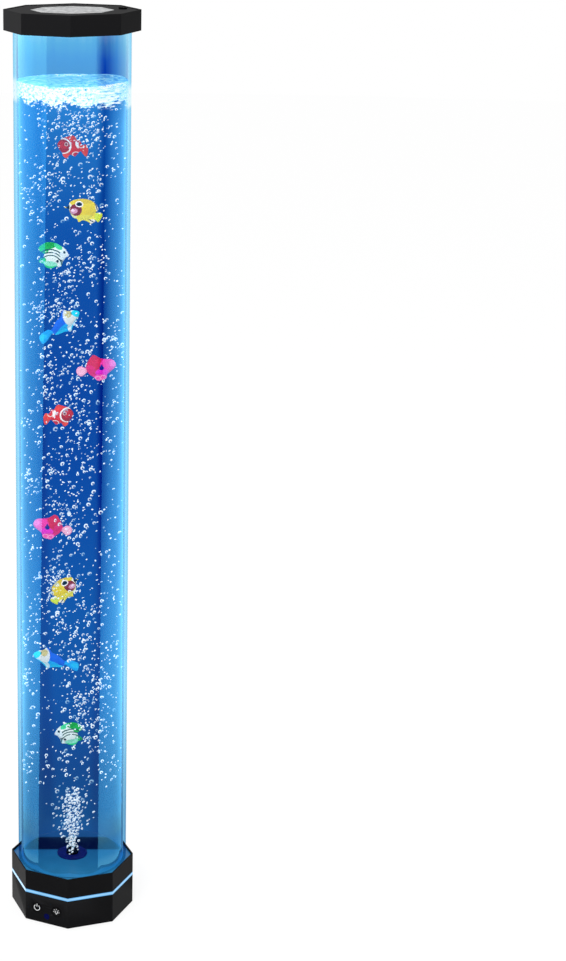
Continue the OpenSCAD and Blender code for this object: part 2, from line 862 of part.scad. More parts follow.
module nozzle() {
    color("#0c0c0e")
    difference() {
        union() {
            translate([0, 0, seal_top]) cylinder(d = nozzle_d, h = dome_skirt);
            intersection() {
                translate([0, 0, seal_top + dome_skirt]) sphere(d = nozzle_d);
                translate([0, 0, seal_top]) cylinder(d = nozzle_d + 2, h = nozzle_d);
            }
            translate([0, 0, stem_z]) cylinder(d = stem_d, h = seal_top - stem_z + 1);
            translate([0, 0, nozzle_z]) cylinder(d = barb_d, h = barb_h + 1, $fn = 48);
        }
        translate([0, 0, nozzle_z - 1])
        cylinder(d = air_bore, h = seal_top + dome_skirt - nozzle_z + 1, $fn = 32);
        for (k = [0 : 7])
        translate([0, 0, seal_top + dome_skirt]) rotate([0, 40, 45 * k])
        cylinder(d = 1.2, h = nozzle_d, $fn = 24);
    }
}

module nozzle_seal() {
    color("#16246e")
    translate([0, 0, plate_top]) ring(seal_d, stem_d + slip, seal_t);
}

module nozzle_nut() {
    color("#1a1a1c")
    translate([0, 0, plate_z - nut_h])
    difference() {
        cylinder(d = nut_af / cos(30), h = nut_h, $fn = 6);
        translate([0, 0, -1]) cylinder(d = stem_d + slip, h = nut_h + 2);
    }
}

module tube() {
    color("#a8dcff", 0.35)
    translate([0, 0, plate_top]) ring(tube_od, 2 * tube_ir, tube_top - plate_top);
}

// The water fills the tube round the nozzle, the fish and the air bubbles
module water() {
    color("#1a6fd0", 0.4)
    difference() {
        translate([0, 0, plate_top]) cylinder(r = tube_ir - touch, h = water_h);
        translate([0, 0, plate_top - 1]) cylinder(d = seal_d + 2 * touch, h = 1 + seal_t + touch);
        translate([0, 0, seal_top - 1]) cylinder(d = nozzle_d + fit, h = 1 + dome_skirt);
        translate([0, 0, seal_top + dome_skirt]) sphere(d = nozzle_d + fit);
        for (f = FISH) float_at(f) fish_room(KINDS[f[0]], KIND_LEN[f[0]]);
        rotate(swim_angle) for (b = BUBBLES) translate([b[0], b[1], b[2]]) sphere(r = b[3], $fn = 24);
    }
}

// ---------- cap ----------

module cap() {
    color("#1a1a1c")
    rotate(cap_turn)
    difference() {
        union() {
            difference() {
                prism(cap_af, cap_z, total_h);
                prism(cap_af - 2 * cap_wall, cap_z - 1, ceiling);
                prism(cap_af - 2 * dish_rim, total_h - dish, total_h + 1);
            }
            translate([0, 0, ceiling - collar_h])
            ring(2 * collar_r, 2 * (collar_r - collar_t), collar_h + 0.5);
        }
        prism(insert_af + fit, total_h - dish - insert_t, total_h + 1, 2 * edge_r);
        rotate(plug_turn) translate([plug_r, 0, ceiling - 1])
        cylinder(d = plug_stem + slip, h = cap_top_t + 2, $fn = 48);
    }
}

module cap_plate() {
    color("#b9bcc0")
    rotate(cap_turn)
    prism(insert_af, total_h - dish - insert_t, total_h - dish, 2 * edge_r);
}

module cap_gasket() {
    color("#2a2a2c")
    translate([0, 0, tube_top]) ring(tube_od, 2 * (collar_r + 0.3), gasket_t);
}

module vent_plug() {
    stem_l = cap_top_t - dish + 2;
    color("#0e0e10")
    rotate(cap_turn + plug_turn) translate([plug_r, 0, total_h - dish]) {
        cylinder(d = plug_d, h = plug_h, $fn = 64);
        translate([0, 0, -stem_l]) cylinder(d = plug_stem, h = stem_l + 0.5, $fn = 48);
    }
}

// ---------- fish ----------
// Each outline is drawn in millimetres with the head at -X, and scaled to the fish's length.

RED = [
    [-19.5, 3.5], [-14, 10.5], [-7.5, 12.5], [-0.5, 14.5], [3, 12.5], [5.5, 8], [9, 8], [12, 2.5],
    [16.5, 3], [19.5, -2.5], [18, -11.5], [14.5, -11], [10, -5.5], [6, -9], [2.5, -12], [-3.5, -10],
    [-7.5, -14.5], [-12, -12], [-13.5, -7.5], [-17.5, -2.5]
];
YELLOW = [
    [-24, 5], [-19.5, 6.5], [-17, 11.5], [-11.5, 14.5], [-2, 16], [7.5, 14.5], [13.5, 11],
    [18, 5.5], [18.5, 1.5], [15.5, -2], [22, -2], [24, -6], [19, -14], [15.5, -11.5],
    [14.5, -13.5], [9.5, -16], [6.5, -14], [-0.5, -11.5], [-6, -14], [-8, -10], [-13, -8],
    [-16, -3.5], [-19, 3]
];
GREEN = [
    [-19.5, 0], [-14.5, 8.5], [-8, 13], [-2, 16], [7.5, 17], [15.5, 13.5], [19.5, 9], [17, 5],
    [12.5, 2], [13, -2], [16.5, -4.5], [20, -8], [17, -10], [13.5, -10.5], [9.5, -15.5], [3, -17],
    [-3.5, -14.5], [-10, -14], [-12, -8], [-15.5, -3]
];
BLUE = [
    [-32, 0], [-26.5, 6.5], [-21.5, 9], [-16, 14.5], [-8.5, 9.5], [0.5, 8], [11.5, 3], [16.5, 6],
    [30, 5.5], [32.5, -5], [25, -5.5], [14.5, -2], [11, -6.5], [0, -10], [-7.5, -14.5],
    [-12.5, -11.5], [-21, -7.5], [-28.5, -4.5]
];
PINK = [
    [-25.5, 6], [-20.5, 11.5], [-12.5, 12], [-5, 13], [2, 17], [6.5, 15.5], [12, 6], [14, 0],
    [19, 2], [24, 0.5], [26, -4.5], [24, -9.5], [19, -11.5], [14, -8], [11.5, -5.5], [8.5, -9],
    [4, -12], [-1.5, -17], [-7, -16.5], [-13, -14], [-14.5, -8.5], [-20.5, -3], [-24.5, 1]
];

// Outline, then the body's oval: centre x and z, half length and half height
KINDS = [
    [RED, [-3.5, 0.5, 14.5, 10.5]],
    [YELLOW, [-1, 1.5, 16.5, 12.5]],
    [GREEN, [-2, 0, 15, 12]],
    [BLUE, [-9, 0, 21, 8.5]],
    [PINK, [-6, 1, 17, 11]]
];
KIND_LEN = [red_len, yellow_len, green_len, blue_len, pink_len];
KIND_COLOR = ["#e0352b", "#e6cf2e", "#35c46a", "#1597f0", "#e8308e"];
fin_t = 2.2;

// Every fish: kind, 1 facing left or -1 right, nose lift in degrees, place across the tube as a
// share of its inner radius, height as a share of the water's, and lane from the back
FISH = [
    [0, 1, 0, 0.01, 0.912, 0], [0, -1, 0, -0.26, 0.585, 3],
    [1, 1, 0, 0.20, 0.849, 9], [1, -1, 28, -0.15, 0.354, 2],
    [2, -1, 0, -0.34, 0.789, 5], [2, 1, 0, -0.07, 0.153, 1],
    [3, -1, 38, -0.23, 0.700, 4], [3, 1, 18, -0.31, 0.281, 8],
    [4, -1, 0, 0.44, 0.655, 7], [4, 1, 0, -0.37, 0.450, 6]
];

function scale_of(kind, length) =
    let (xs = [for (p = kind[0]) p[0]]) length / (max(xs) - min(xs));
function smooth_ring(p, n = 3) = [
    for (i = [0 : len(p) - 1], j = [0 : n - 1])
    curve(p[(i + len(p) - 1) % len(p)], p[i], p[(i + 1) % len(p)], p[(i + 2) % len(p)], j / n)
];

// Puts a fish in its lane, which is an upright plane that the swim angle turns
module float_at(f) {
    rotate(swim_angle)
    translate([f[3] * tube_ir, -(f[5] - 4.5) * lane_pitch, plate_top + f[4] * water_h])
    rotate([0, f[1] * f[2], 0])
    mirror([f[1] > 0 ? 0 : 1, 0, 0])
    children();
}

module fish(f) {
    kind = KINDS[f[0]];
    k = scale_of(kind, KIND_LEN[f[0]]);
    body = kind[1] * k;
    color(KIND_COLOR[f[0]])
    float_at(f) {
        rotate([90, 0, 0]) linear_extrude(fin_t, center = true) polygon(smooth_ring(kind[0] * k));
        translate([body[0], 0, body[1]]) scale([body[2], fish_t / 2, body[3]])
        sphere(r = 1, $fn = 24);
    }
}

// The room that the water leaves for a fish
module fish_room(kind, length) {
    outline = kind[0] * scale_of(kind, length);
    xs = [for (p = outline) p[0]];
    zs = [for (p = outline) p[1]];
    room = 0.8;
    translate([min(xs) - room, -fish_t / 2 - room / 2, min(zs) - room])
    cube([max(xs) - min(xs) + 2 * room, fish_t + room, max(zs) - min(zs) + 2 * room]);
}

// ---------- bubbles ----------
// A bubble is a ball of air, so it is a hollow in the water. Bubbles take turns left and right of
// the middle, each at its own height, so no two of them touch, and none is in a fish's way.

bubble_tries = 20;
bubble_gap = 1.2; // least distance from a bubble to a fish's way
plume_r = 2; // radius of the plume's largest bubble
plume_w = 18; // half width of the plume where it is widest
PLUME_Y = [-31, -1]; // the plume's depth, in front of the fish that float low
DRAWS = rands(0, 1, 3 * bubble_tries * (bubble_count + plume_count), 7);

// Every fish's way up and down: its plane's y, then the lowest and highest x that it takes up
WAYS = [
    for (f = FISH)
    let (k = scale_of(KINDS[f[0]], KIND_LEN[f[0]]), lift = f[1] * f[2], xs = [
        for (p = KINDS[f[0]][0]) (p[0] * f[1] * cos(lift) + p[1] * sin(lift)) * k + f[3] * tube_ir
    ])
    [-(f[5] - 4.5) * lane_pitch, min(xs), max(xs)]
];

function in_the_clear(x, y, r) =
    norm([x, y]) + r < tube_ir - bubble_gap
    && len([
        for (w = WAYS)
        if (abs(y - w[0]) < fish_t / 2 + bubble_gap + r
            && x > w[1] - bubble_gap - r && x < w[2] + bubble_gap + r) w
    ]) == 0;

// The first drawn place that is clear: i is the bubble, side 1 or -1, wide how far out it may be
function find_place(i, side, r, wide, depth, k = 0) =
    k == bubble_tries ? [] :
    let (n = 3 * (i * bubble_tries + k), x = side * (r + 0.5 + wide * DRAWS[n] * DRAWS[n + 1]),
        y = depth[0] + (depth[1] - depth[0]) * DRAWS[n + 2])
    in_the_clear(x, y, r) ? [[x, y]] : find_place(i, side, r, wide, depth, k + 1);

BUBBLES = concat(
    [
        for (i = [0 : plume_count - 1])
        let (h = plume_h * i / plume_count, r = plume_r * (0.6 + 0.4 * DRAWS[i]),
            wide = plume_w * min(1, 0.2 + h / plume_h))
        for (p = find_place(i, i % 2 == 0 ? 1 : -1, r, wide, PLUME_Y))
        [p[0], p[1], seal_top + dome_skirt + nozzle_d / 2 + 4 + h, r]
    ],
    [
        for (j = [0 : bubble_count - 1])
        let (i = plume_count + j, r = bubble_r * (0.6 + 0.4 * DRAWS[i]),
            low = plate_top + plume_h + 16, high = water_top - 18)
        for (p = find_place(i, i % 2 == 0 ? 1 : -1, r, 0.8 * tube_ir, [-tube_ir, tube_ir]))
        [p[0], p[1], low + (high - low) * j / bubble_count, r]
    ]
);

base_lower_shell();
base_upper_shell();
light_band();
bottom_cover();
rubber_feet();
cover_screws();
case_screws();
power_button();
light_button();
tact_switches();
power_plunger();
light_plunger();
button_board();
receiver_window();
receiver();
control_board();
board_screws();
capacitors();
driver_chips();
board_plugs();
power_inlet();
inlet_nut();
light_board();
water_lights();
band_lights();
pump_mounts();
pump_tray();
pump_core();
pump_coil();
pump_arm();
pump_magnet();
pivot_pin();
pump_bellows();
valve_box();
lower_hose();
check_valve();
upper_hose();
wiring();
floor_plate();
nozzle();
nozzle_seal();
nozzle_nut();
tube();
water();
cap();
cap_plate();
cap_gasket();
vent_plug();
fish(FISH[0]);  // red_fish_1
fish(FISH[1]);  // red_fish_2
fish(FISH[2]);  // yellow_fish_1
fish(FISH[3]);  // yellow_fish_2
fish(FISH[4]);  // green_fish_1
fish(FISH[5]);  // green_fish_2
fish(FISH[6]);  // blue_fish_1
fish(FISH[7]);  // blue_fish_2
fish(FISH[8]);  // pink_fish_1
fish(FISH[9]);  // pink_fish_2
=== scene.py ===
# %% [markdown]
# # A bubble tube floor lamp
# A clear acrylic tube of water stands on an octagonal base and carries an octagonal cap. Lamps in the base
# light the water blue, and an air pump sends bubbles up past ten plastic fish. The construction comes from
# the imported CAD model, so every piece here goes exactly where the real one is, in metres, and this script
# gives it its looks.

# %% Load the construction
import json
import math

import bmesh
import bpy
import numpy as np
from mathutils import Matrix, Vector, geometry, noise


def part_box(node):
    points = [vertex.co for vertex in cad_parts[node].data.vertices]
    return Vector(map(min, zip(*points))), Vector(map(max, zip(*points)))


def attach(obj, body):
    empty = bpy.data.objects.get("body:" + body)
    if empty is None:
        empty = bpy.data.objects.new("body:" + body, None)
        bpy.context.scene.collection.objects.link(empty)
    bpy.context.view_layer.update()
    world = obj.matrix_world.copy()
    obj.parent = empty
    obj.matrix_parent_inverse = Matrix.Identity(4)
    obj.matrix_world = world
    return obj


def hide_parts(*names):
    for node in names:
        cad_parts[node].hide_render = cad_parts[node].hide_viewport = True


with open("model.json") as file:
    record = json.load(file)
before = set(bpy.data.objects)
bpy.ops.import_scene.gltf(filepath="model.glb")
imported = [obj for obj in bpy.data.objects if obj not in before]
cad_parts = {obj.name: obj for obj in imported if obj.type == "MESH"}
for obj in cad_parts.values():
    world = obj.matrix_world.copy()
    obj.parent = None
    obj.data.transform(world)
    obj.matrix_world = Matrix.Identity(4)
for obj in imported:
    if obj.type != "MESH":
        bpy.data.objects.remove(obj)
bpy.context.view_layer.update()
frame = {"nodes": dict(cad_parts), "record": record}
MM = 0.001

# %% [markdown]
# ## The camera
# The picture was taken from 2.7 m away, a little above the lamp and turned to its right, so that two of the
# base's front facets show. A long lens keeps the tube's sides nearly parallel. The lamp stands at the left
# of a wide white page, and the lens shift makes that framing without turning the camera away from the lamp.

# %% Place the camera
TURN = math.radians(26.65)
AWAY, HEIGHT, TILT = 2.7394, 1.4813, math.radians(74.22)


def put_in_scene(name, data):
    """Makes an object of new data, such as a mesh or a lamp."""
    made = bpy.data.objects.new(name, data)
    bpy.context.scene.collection.objects.link(made)
    return made


camera = put_in_scene("camera", bpy.data.cameras.new("camera"))
camera.data.sensor_width = 36
camera.data.lens = 80.63
camera.data.shift_x = 0.2193
camera.data.shift_y = -0.0654
camera.data.clip_end = 60
camera.location = (AWAY * math.sin(TURN), -AWAY * math.cos(TURN), HEIGHT)
camera.rotation_euler = (TILT, 0, TURN)
bpy.context.scene.camera = camera
bpy.context.scene.view_settings.view_transform = "Standard"
bpy.context.scene.cycles.transparent_max_bounces = 48
print("camera", round(math.degrees(TURN), 2), "degrees to the right, lens", camera.data.lens, "mm")

# %% [markdown]
# ## Small helpers
# Colours are written as sRGB hex values, as a colour chart gives them, and one function turns them to the
# linear values that a shader needs. One function adds a node with its links, its settings and, for a colour
# ramp, its stops. One makes a material whose node tree is empty, so that each finish below can be read from
# its first node to its last.

# %% Colours, nodes and materials
def linear(chart):
    """The linear colour of an sRGB hex value such as "#8FD0FF"."""
    parts = [int(chart[i:i + 2], 16) / 255 for i in (1, 3, 5)]
    return [c / 12.92 if c <= 0.04045 else ((c + 0.055) / 1.055) ** 2.4 for c in parts] + [1.0]


def add(tree, kind, *values, stops=(), **named):
    """Adds a node. The values fill its open sockets from the top down. A name with a capital is a socket,
    such as To_Min for "To Min", and one without is a setting. A node as a value is linked from its first open
    output. A colour is a hex value or linear numbers, and a ramp's stop may also be one grey number."""
    node = tree.nodes.new("ShaderNode" + kind)
    settings = {name: value for name, value in named.items() if name[0].islower()}
    for name, value in settings.items():
        setattr(node, name, value)
    given = list(zip([socket for socket in node.inputs if socket.enabled], values))
    given += [(node.inputs[name.replace("_", " ")], named[name]) for name in named if name not in settings]
    for socket, value in given:
        if isinstance(value, bpy.types.Node):
            value = next(output for output in value.outputs if output.enabled)
        if isinstance(value, bpy.types.NodeSocket):
            tree.links.new(value, socket)
        else:
            socket.default_value = linear(value) if isinstance(value, str) else value
    if stops:
        spots = node.color_ramp.elements
        spots[0].position, spots[1].position = stops[0][0], stops[-1][0]
        for place, _ in stops[1:-1]:
            spots.new(place)
        for spot, (_, colour) in zip(spots, stops):
            spot.color = linear(colour) if isinstance(colour, str) else (*np.broadcast_to(colour, 3), 1)
    return node


def new_material(name):
    """A material with an empty node tree, and that tree."""
    made = bpy.data.materials.new(name)
    made.use_nodes = True
    made.node_tree.nodes.clear()
    return made, made.node_tree


print("mid grey is", round(linear("#808080")[0], 3), "in linear light")

# %% [markdown]
# ## The stage
# The lamp stands on a plain pale floor in a white studio. A studio photographer lights a shiny tube with
# what it mirrors, more than with what shines on it: a dark card in front keeps its middle clear and deep,
# and tall bright cards beside it draw a crisp light zone down each side. Here those cards are seen by
# reflections alone. The light that falls on the lamp comes from the white surroundings and one large soft
# lamp above the camera.

# %% White surroundings
def seen_rays(tree, *others):
    """1 for what an eye sees, straight on or by these other kinds of ray, and 0 for light on a surface."""
    rays = add(tree, "LightPath")
    seen = rays.outputs["Is Camera Ray"]
    for kind in others:
        seen = add(tree, "Math", seen, rays.outputs["Is " + kind + " Ray"], operation="MAXIMUM")
    return seen


world = bpy.data.worlds.new("white studio")
bpy.context.scene.world = world
world.use_nodes = True
sky = world.node_tree
sky.nodes.clear()
seen = seen_rays(sky, "Glossy", "Transmission")
SURROUND = 0.72
level = add(sky, "MapRange", seen, To_Min=SURROUND, To_Max=1.0)
white = add(sky, "Background", Color="#FFFFFF", Strength=level)
add(sky, "OutputWorld", white)
print("surroundings shine at", SURROUND, "and look white")

# %% [markdown]
# The floor is a painted board. A camera sees most of its white from a little light of its own, so that the
# page stays white, and the rest from the lamp above, so that the lamp keeps a soft shadow where it stands.

# %% Floor
def new_mesh(name, points, faces, materials=(), smooth=None):
    """A mesh object from points in metres. Faces meet smoothly up to the angle smooth, in degrees."""
    mesh = bpy.data.meshes.new(name)
    mesh.from_pydata([tuple(p) for p in points], [], [tuple(f) for f in faces])
    for one in materials:
        mesh.materials.append(one)
    if smooth is not None:
        mesh.shade_smooth()
        mesh.set_sharp_from_angle(angle=math.radians(smooth))
    return put_in_scene(name, mesh)


painted_board, tree = new_material("painted_board")
paint = add(tree, "BsdfDiffuse", Color="#E8E8E6", Roughness=0.4)
shade = add(tree, "BsdfDiffuse", Color="#7E7E7E")
glow = add(tree, "Emission", "#FFFFFF", 0.84)
page = add(tree, "AddShader", shade, glow)
seen = seen_rays(tree, "Transmission")
either = add(tree, "MixShader", seen, paint, page)
add(tree, "OutputMaterial", either)

FLOOR_R = 9
floor_ring = [(FLOOR_R * math.cos(t), FLOOR_R * math.sin(t), 0) for t in np.linspace(0, math.tau, 64, False)]
floor = new_mesh("floor", floor_ring, [range(64)], [painted_board])
floor.visible_glossy = False
print("floor", 2 * FLOOR_R, "m across")

# %% [markdown]
# Each card is a piece of a cylinder round the lamp, made of rows of points, so that its sides and its
# brightness can change with height. What stands high is mirrored high on the tube, and the lowest rows only
# show in the base.

# %% Cards and the soft lamp
CARD_R = 3.4
COLUMNS = 24

card_light, tree = new_material("lit_card")
strength = add(tree, "Attribute", attribute_name="shine").outputs["Fac"]
light = add(tree, "Emission", Strength=strength)
add(tree, "OutputMaterial", light)


def studio_card(name, rows):
    """A curved card round the lamp. A row is its height, its left and its right end in degrees to the right
    of the camera's direction, and how bright it is at each. Most of a change comes near the left end."""
    points, shine = [], []
    for z, left, right, left_shine, right_shine in rows:
        for share in np.linspace(0, 1, COLUMNS + 1):
            turn = math.radians(left + (right - left) * share) + TURN - math.pi / 2
            points.append((CARD_R * math.cos(turn), CARD_R * math.sin(turn), z))
            shine.append(left_shine + (right_shine - left_shine) * (1 - (1 - share) ** 2))
    wide = COLUMNS + 1
    faces = [(row * wide + i, row * wide + i + 1, (row + 1) * wide + i + 1, (row + 1) * wide + i)
             for row in range(len(rows) - 1) for i in range(COLUMNS)]
    card = new_mesh(name, points, faces, [card_light])
    card.data.attributes.new("shine", "FLOAT", "POINT").data.foreach_set("value", shine)
    card.visible_camera = False
    card.visible_diffuse = False
    card.visible_transmission = False
    card.visible_shadow = False


FRONT, UPPER, HIGH, BASE_LIT = 0.18, 0.3, 0.8, 5.5
CARDS = {
    "card_front_low": [
        (-3, -92, 56, 0, 0), (-1.57, -81.7, 59.8, 0, 0), (-1.5, -80.8, 60.1, FRONT, FRONT),
        (-1.1, -75.8, 62.3, FRONT, FRONT)],
    "card_front": [
        (-1.1, -75.8, 56, FRONT, FRONT), (-0.46, -67.7, 53, FRONT, FRONT),
        (0.62, -54, 48.2, UPPER, UPPER), (0.74, -53.5, 47.8, HIGH, HIGH), (3, -45, 44, HIGH, HIGH)],
    "card_edge": [
        (-1.1, 56, 62.3, FRONT, FRONT), (-0.46, 53, 65.7, FRONT, 0), (0.62, 48.2, 71.5, UPPER, 0),
        (0.74, 47.8, 72.1, HIGH, 0), (3, 44, 80, HIGH, 0)],
    "box_right": [
        (-3, 56, 146, 0.6, 0.6), (-1.57, 59.8, 146, 0.62, 0.7), (-1.5, 60.1, 146, 0.95, 1.1),
        (-1.1, 62.3, 146, 1.0, 1.2), (-0.46, 65.7, 146, 0.36, 1.3), (0.62, 71.5, 146, 0.06, 1.0),
        (0.74, 72.1, 146, 0.05, 0.4), (3, 80, 146, 0.05, 0.3)],
    "box_left": [
        (-3, -146, -92, BASE_LIT, 0.6), (-1.78, -146, -83.5, BASE_LIT, 0.6),
        (-1.72, -146, -83, 0.6, 0.6), (-1.57, -146, -81.7, 0.62, 0.62), (-1.5, -146, -80.8, 0.9, 0.95),
        (-1.1, -146, -75.8, 1.0, 1.0), (-0.46, -146, -67.7, 1.05, 1.0), (0.65, -146, -53.8, 1.3, 1.1),
        (3, -146, -45, 1.0, 0.85)],
    "card_back_right": [
        (-3, 146, 166, 0.1, 0.1), (0.9, 146, 166, 0.15, 0.15)],
    "card_back_left": [
        (-3, -194, -146, BASE_LIT, BASE_LIT), (-1.78, -194, -146, BASE_LIT, BASE_LIT),
        (-1.72, -194, -146, 0.1, 0.1), (0.9, -194, -146, 0.15, 0.15)]}
for name, rows in CARDS.items():
    studio_card(name, rows)

soft = bpy.data.lights.new("soft_lamp", "AREA")
soft.shape = "DISK"
soft.size = 1.8
soft.energy = 62
soft_lamp = put_in_scene("soft_lamp", soft)
soft_lamp.location = (0.2, -2.6, 3.0)
soft_lamp.rotation_euler = (Vector((0, 0, 0.7)) - soft_lamp.location).to_track_quat("-Z", "Y").to_euler()
soft_lamp.visible_glossy = False
soft_lamp.visible_camera = False
print(len(CARDS), "cards", CARD_R, "m from the axis, and a soft lamp")

# %% [markdown]
# ## Black ABS of the base and the cap
# Both are injection moulded from black ABS in a spark-eroded mould. That leaves a fine, even grain that
# scatters light, so the plastic looks satin, with soft grey facets and never a sharp mirror. The grain is
# about 0.4 mm across. It is drawn as bump, with a slow change of roughness over it, as handling gives. The
# shell's own colour is very dark, and its satin grows towards the edges of the view.

# %% Moulded plastic
PATCH = 28 * MM


def grained(tree, grain_mm, depth_mm):
    """The slow clouds in a moulding's gloss, and the bump of its fine grain."""
    spot = add(tree, "TexCoord").outputs["Object"]
    cloud = add(tree, "TexNoise", spot, Scale=1 / PATCH, Detail=4.0)
    grain = add(tree, "TexNoise", spot, Scale=1 / (grain_mm * MM), Detail=2.0)
    return cloud, add(tree, "Bump", Height=grain, Distance=depth_mm * MM, Strength=0.6)


def moulded_plastic(name, colour, rough, grain_mm, depth_mm, worn=0.08, ior=1.53, level=0.5, metal=0.0):
    """Injection moulded plastic: an even spark-eroded grain, and gloss that changes slowly."""
    made, tree = new_material(name)
    cloud, bump = grained(tree, grain_mm, depth_mm)
    gloss = add(tree, "MapRange", cloud, To_Min=rough - worn, To_Max=rough + worn)
    pale = [min(1, c * 1.25 + 0.002) for c in linear(colour)[:3]] + [1]
    tone = add(tree, "Mix", cloud, colour, pale, data_type="RGBA")
    skin = add(tree, "BsdfPrincipled", Base_Color=tone, Roughness=gloss, Metallic=metal, IOR=ior,
               Specular_IOR_Level=level, Normal=bump)
    add(tree, "OutputMaterial", skin)
    return made


def dress(material, *names):
    """Gives CAD nodes this material."""
    for name in names:
        slots = frame["nodes"][name].data.materials
        slots.clear()
        slots.append(material)


spark_eroded_abs, tree = new_material("spark_eroded_abs")
ABS_GRAIN_MM = 0.4
cloud, bump = grained(tree, ABS_GRAIN_MM, 0.03)
rough = add(tree, "MapRange", cloud, To_Min=0.36, To_Max=0.5)
matt = add(tree, "BsdfDiffuse", Color="#131315", Normal=bump)
satin = add(tree, "BsdfGlossy", Roughness=rough, Normal=bump)
edge_on = add(tree, "LayerWeight", Blend=0.5).outputs["Facing"]
share = add(tree, "ValToRGB", edge_on, stops=[
    (0.0, 0.01), (0.3, 0.015), (0.6, 0.03), (0.9, 0.055), (1.0, 0.09)])
skin = add(tree, "MixShader", share, matt, satin)
add(tree, "OutputMaterial", skin)
dress(spark_eroded_abs, "base_lower_shell", "base_upper_shell", "bottom_cover", "cap")
print("ABS grain", ABS_GRAIN_MM, "mm, clouds", round(PATCH / MM), "mm")

# %% [markdown]
# A mould can't leave a perfectly sharp edge, and a real edge catches a thin line of light. The CAD edges
# are sharp, so a small bevel goes on as a modifier, which leaves the CAD mesh itself as it is. Its faces
# are welded first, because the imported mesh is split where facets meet.

# %% Soften the moulded edges
def soften(name, width_mm):
    """Welds a CAD piece and bevels its sharp edges, by modifiers alone."""
    part = frame["nodes"][name]
    part.data.shade_smooth()
    part.modifiers.new("weld", "WELD").merge_threshold = 0.02 * MM
    bevel = part.modifiers.new("edge", "BEVEL")
    bevel.width = width_mm * MM
    bevel.segments = 2
    bevel.limit_method = "ANGLE"
    bevel.angle_limit = math.radians(40)
    part.modifiers.new("shading", "WEIGHTED_NORMAL").keep_sharp = True


EDGES = {"base_lower_shell": 0.35, "base_upper_shell": 0.35, "cap": 0.35, "cap_plate": 0.25,
         "power_button": 0.4, "light_button": 0.4, "vent_plug": 0.4}
for name, width in EDGES.items():
    soften(name, width)
print(len(EDGES), "pieces with edges", min(EDGES.values()), "to", max(EDGES.values()), "mm wide")

# %% [markdown]
# ## The silver plate
# The plate in the cap is aluminium foil pressed on a board, or thin rolled sheet. Rolling and handling
# leave patches a few millimetres wide that mirror the room in slightly different directions, which reads as
# a mottled silver grey.

# %% Rolled aluminium
rolled_aluminium, tree = new_material("rolled_aluminium")
spot = add(tree, "TexCoord").outputs["Object"]
patches = add(tree, "TexVoronoi", spot, Scale=1 / (7 * MM), Smoothness=0.6, feature="SMOOTH_F1")
streak_space = add(tree, "Mapping", spot, Scale=(1, 0.3, 1))
streaks = add(tree, "TexNoise", streak_space, Scale=1 / (2.4 * MM), Detail=5.0)
mixed = add(tree, "Math", patches, streaks, operation="MULTIPLY")
tone = add(tree, "ValToRGB", mixed, stops=[(0.05, "#808285"), (0.22, "#A8AAAC"), (0.42, "#D2D3D4")])
gloss = add(tree, "MapRange", streaks, To_Min=0.3, To_Max=0.5)
bump = add(tree, "Bump", Height=mixed, Distance=0.05 * MM, Strength=0.5)
skin = add(tree, "BsdfPrincipled", Base_Color=tone, Metallic=0.75, Roughness=gloss, Normal=bump)
add(tree, "OutputMaterial", skin)
dress(rolled_aluminium, "cap_plate")

vent_rubber = moulded_plastic("vent_rubber", "#060607", 0.6, 0.6, 0.01, ior=1.2, level=0.1)
foam_strip = moulded_plastic("foam_strip", "#232325", 0.9, 0.7, 0.2, ior=1.4, level=0.2)
dress(vent_rubber, "vent_plug")
dress(foam_strip, "cap_gasket")
print("plate in", rolled_aluminium.name, "with", len(rolled_aluminium.node_tree.nodes), "nodes")

# %% [markdown]
# ## The light band
# A ring of clear acrylic carries light round the base and lets it out through its frosted edge. The edge is
# evenly bright, a little paler where a lamp sits behind it, and it is as bright as a surface in daylight.

# %% Frosted light guide
frosted_guide, tree = new_material("frosted_guide")
spot = add(tree, "TexCoord").outputs["Object"]
up = add(tree, "SeparateXYZ", spot).outputs["Z"]
band_low, band_high = (corner.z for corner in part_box("light_band"))
height = add(tree, "MapRange", up, band_low, band_high)
across = add(tree, "ValToRGB", height, stops=[
    (0.0, "#4FA5E8"), (0.25, "#86CBFF"), (0.55, "#A9DDFF"), (0.8, "#7CC4FB"), (1.0, "#4A9DE0")])
frost = add(tree, "TexNoise", spot, Scale=1 / (16 * MM), Detail=1.0)
shine = add(tree, "MapRange", frost, To_Min=0.78, To_Max=1.02)
guide = add(tree, "BsdfPrincipled", Base_Color="#2B3C48", Roughness=0.35, IOR=1.49, Emission_Color=across,
            Emission_Strength=shine)
add(tree, "OutputMaterial", guide)
dress(frosted_guide, "light_band")
print("light band from", round(band_low / MM, 1), "to", round(band_high / MM, 1), "mm high")

# %% [markdown]
# ## Buttons and receiver window
# The push buttons are glossier than the shell, because a finger has to find them. Their symbols are pad
# printed in white ink, which stands a tenth of a millimetre proud. Each is cut as a flat closed shape, so
# that it keeps a crisp edge at any distance. The receiver's window is dyed dark blue: it lets infrared
# through and hides the chip.

# %% Printed symbols
pressed_abs = moulded_plastic("polished_abs", "#020203", 0.26, 0.8, 0.01)
dress(pressed_abs, "power_button", "light_button")
dyed_acrylic = moulded_plastic("dyed_acrylic", "#070C48", 0.12, 3.0, 0.002, worn=0.03, ior=1.49)
dress(dyed_acrylic, "receiver_window")
white_ink = moulded_plastic("white_ink", "#DEDFE0", 0.55, 0.5, 0.01, worn=0.1)

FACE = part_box("power_button")[0].y
INK = 0.12 * MM


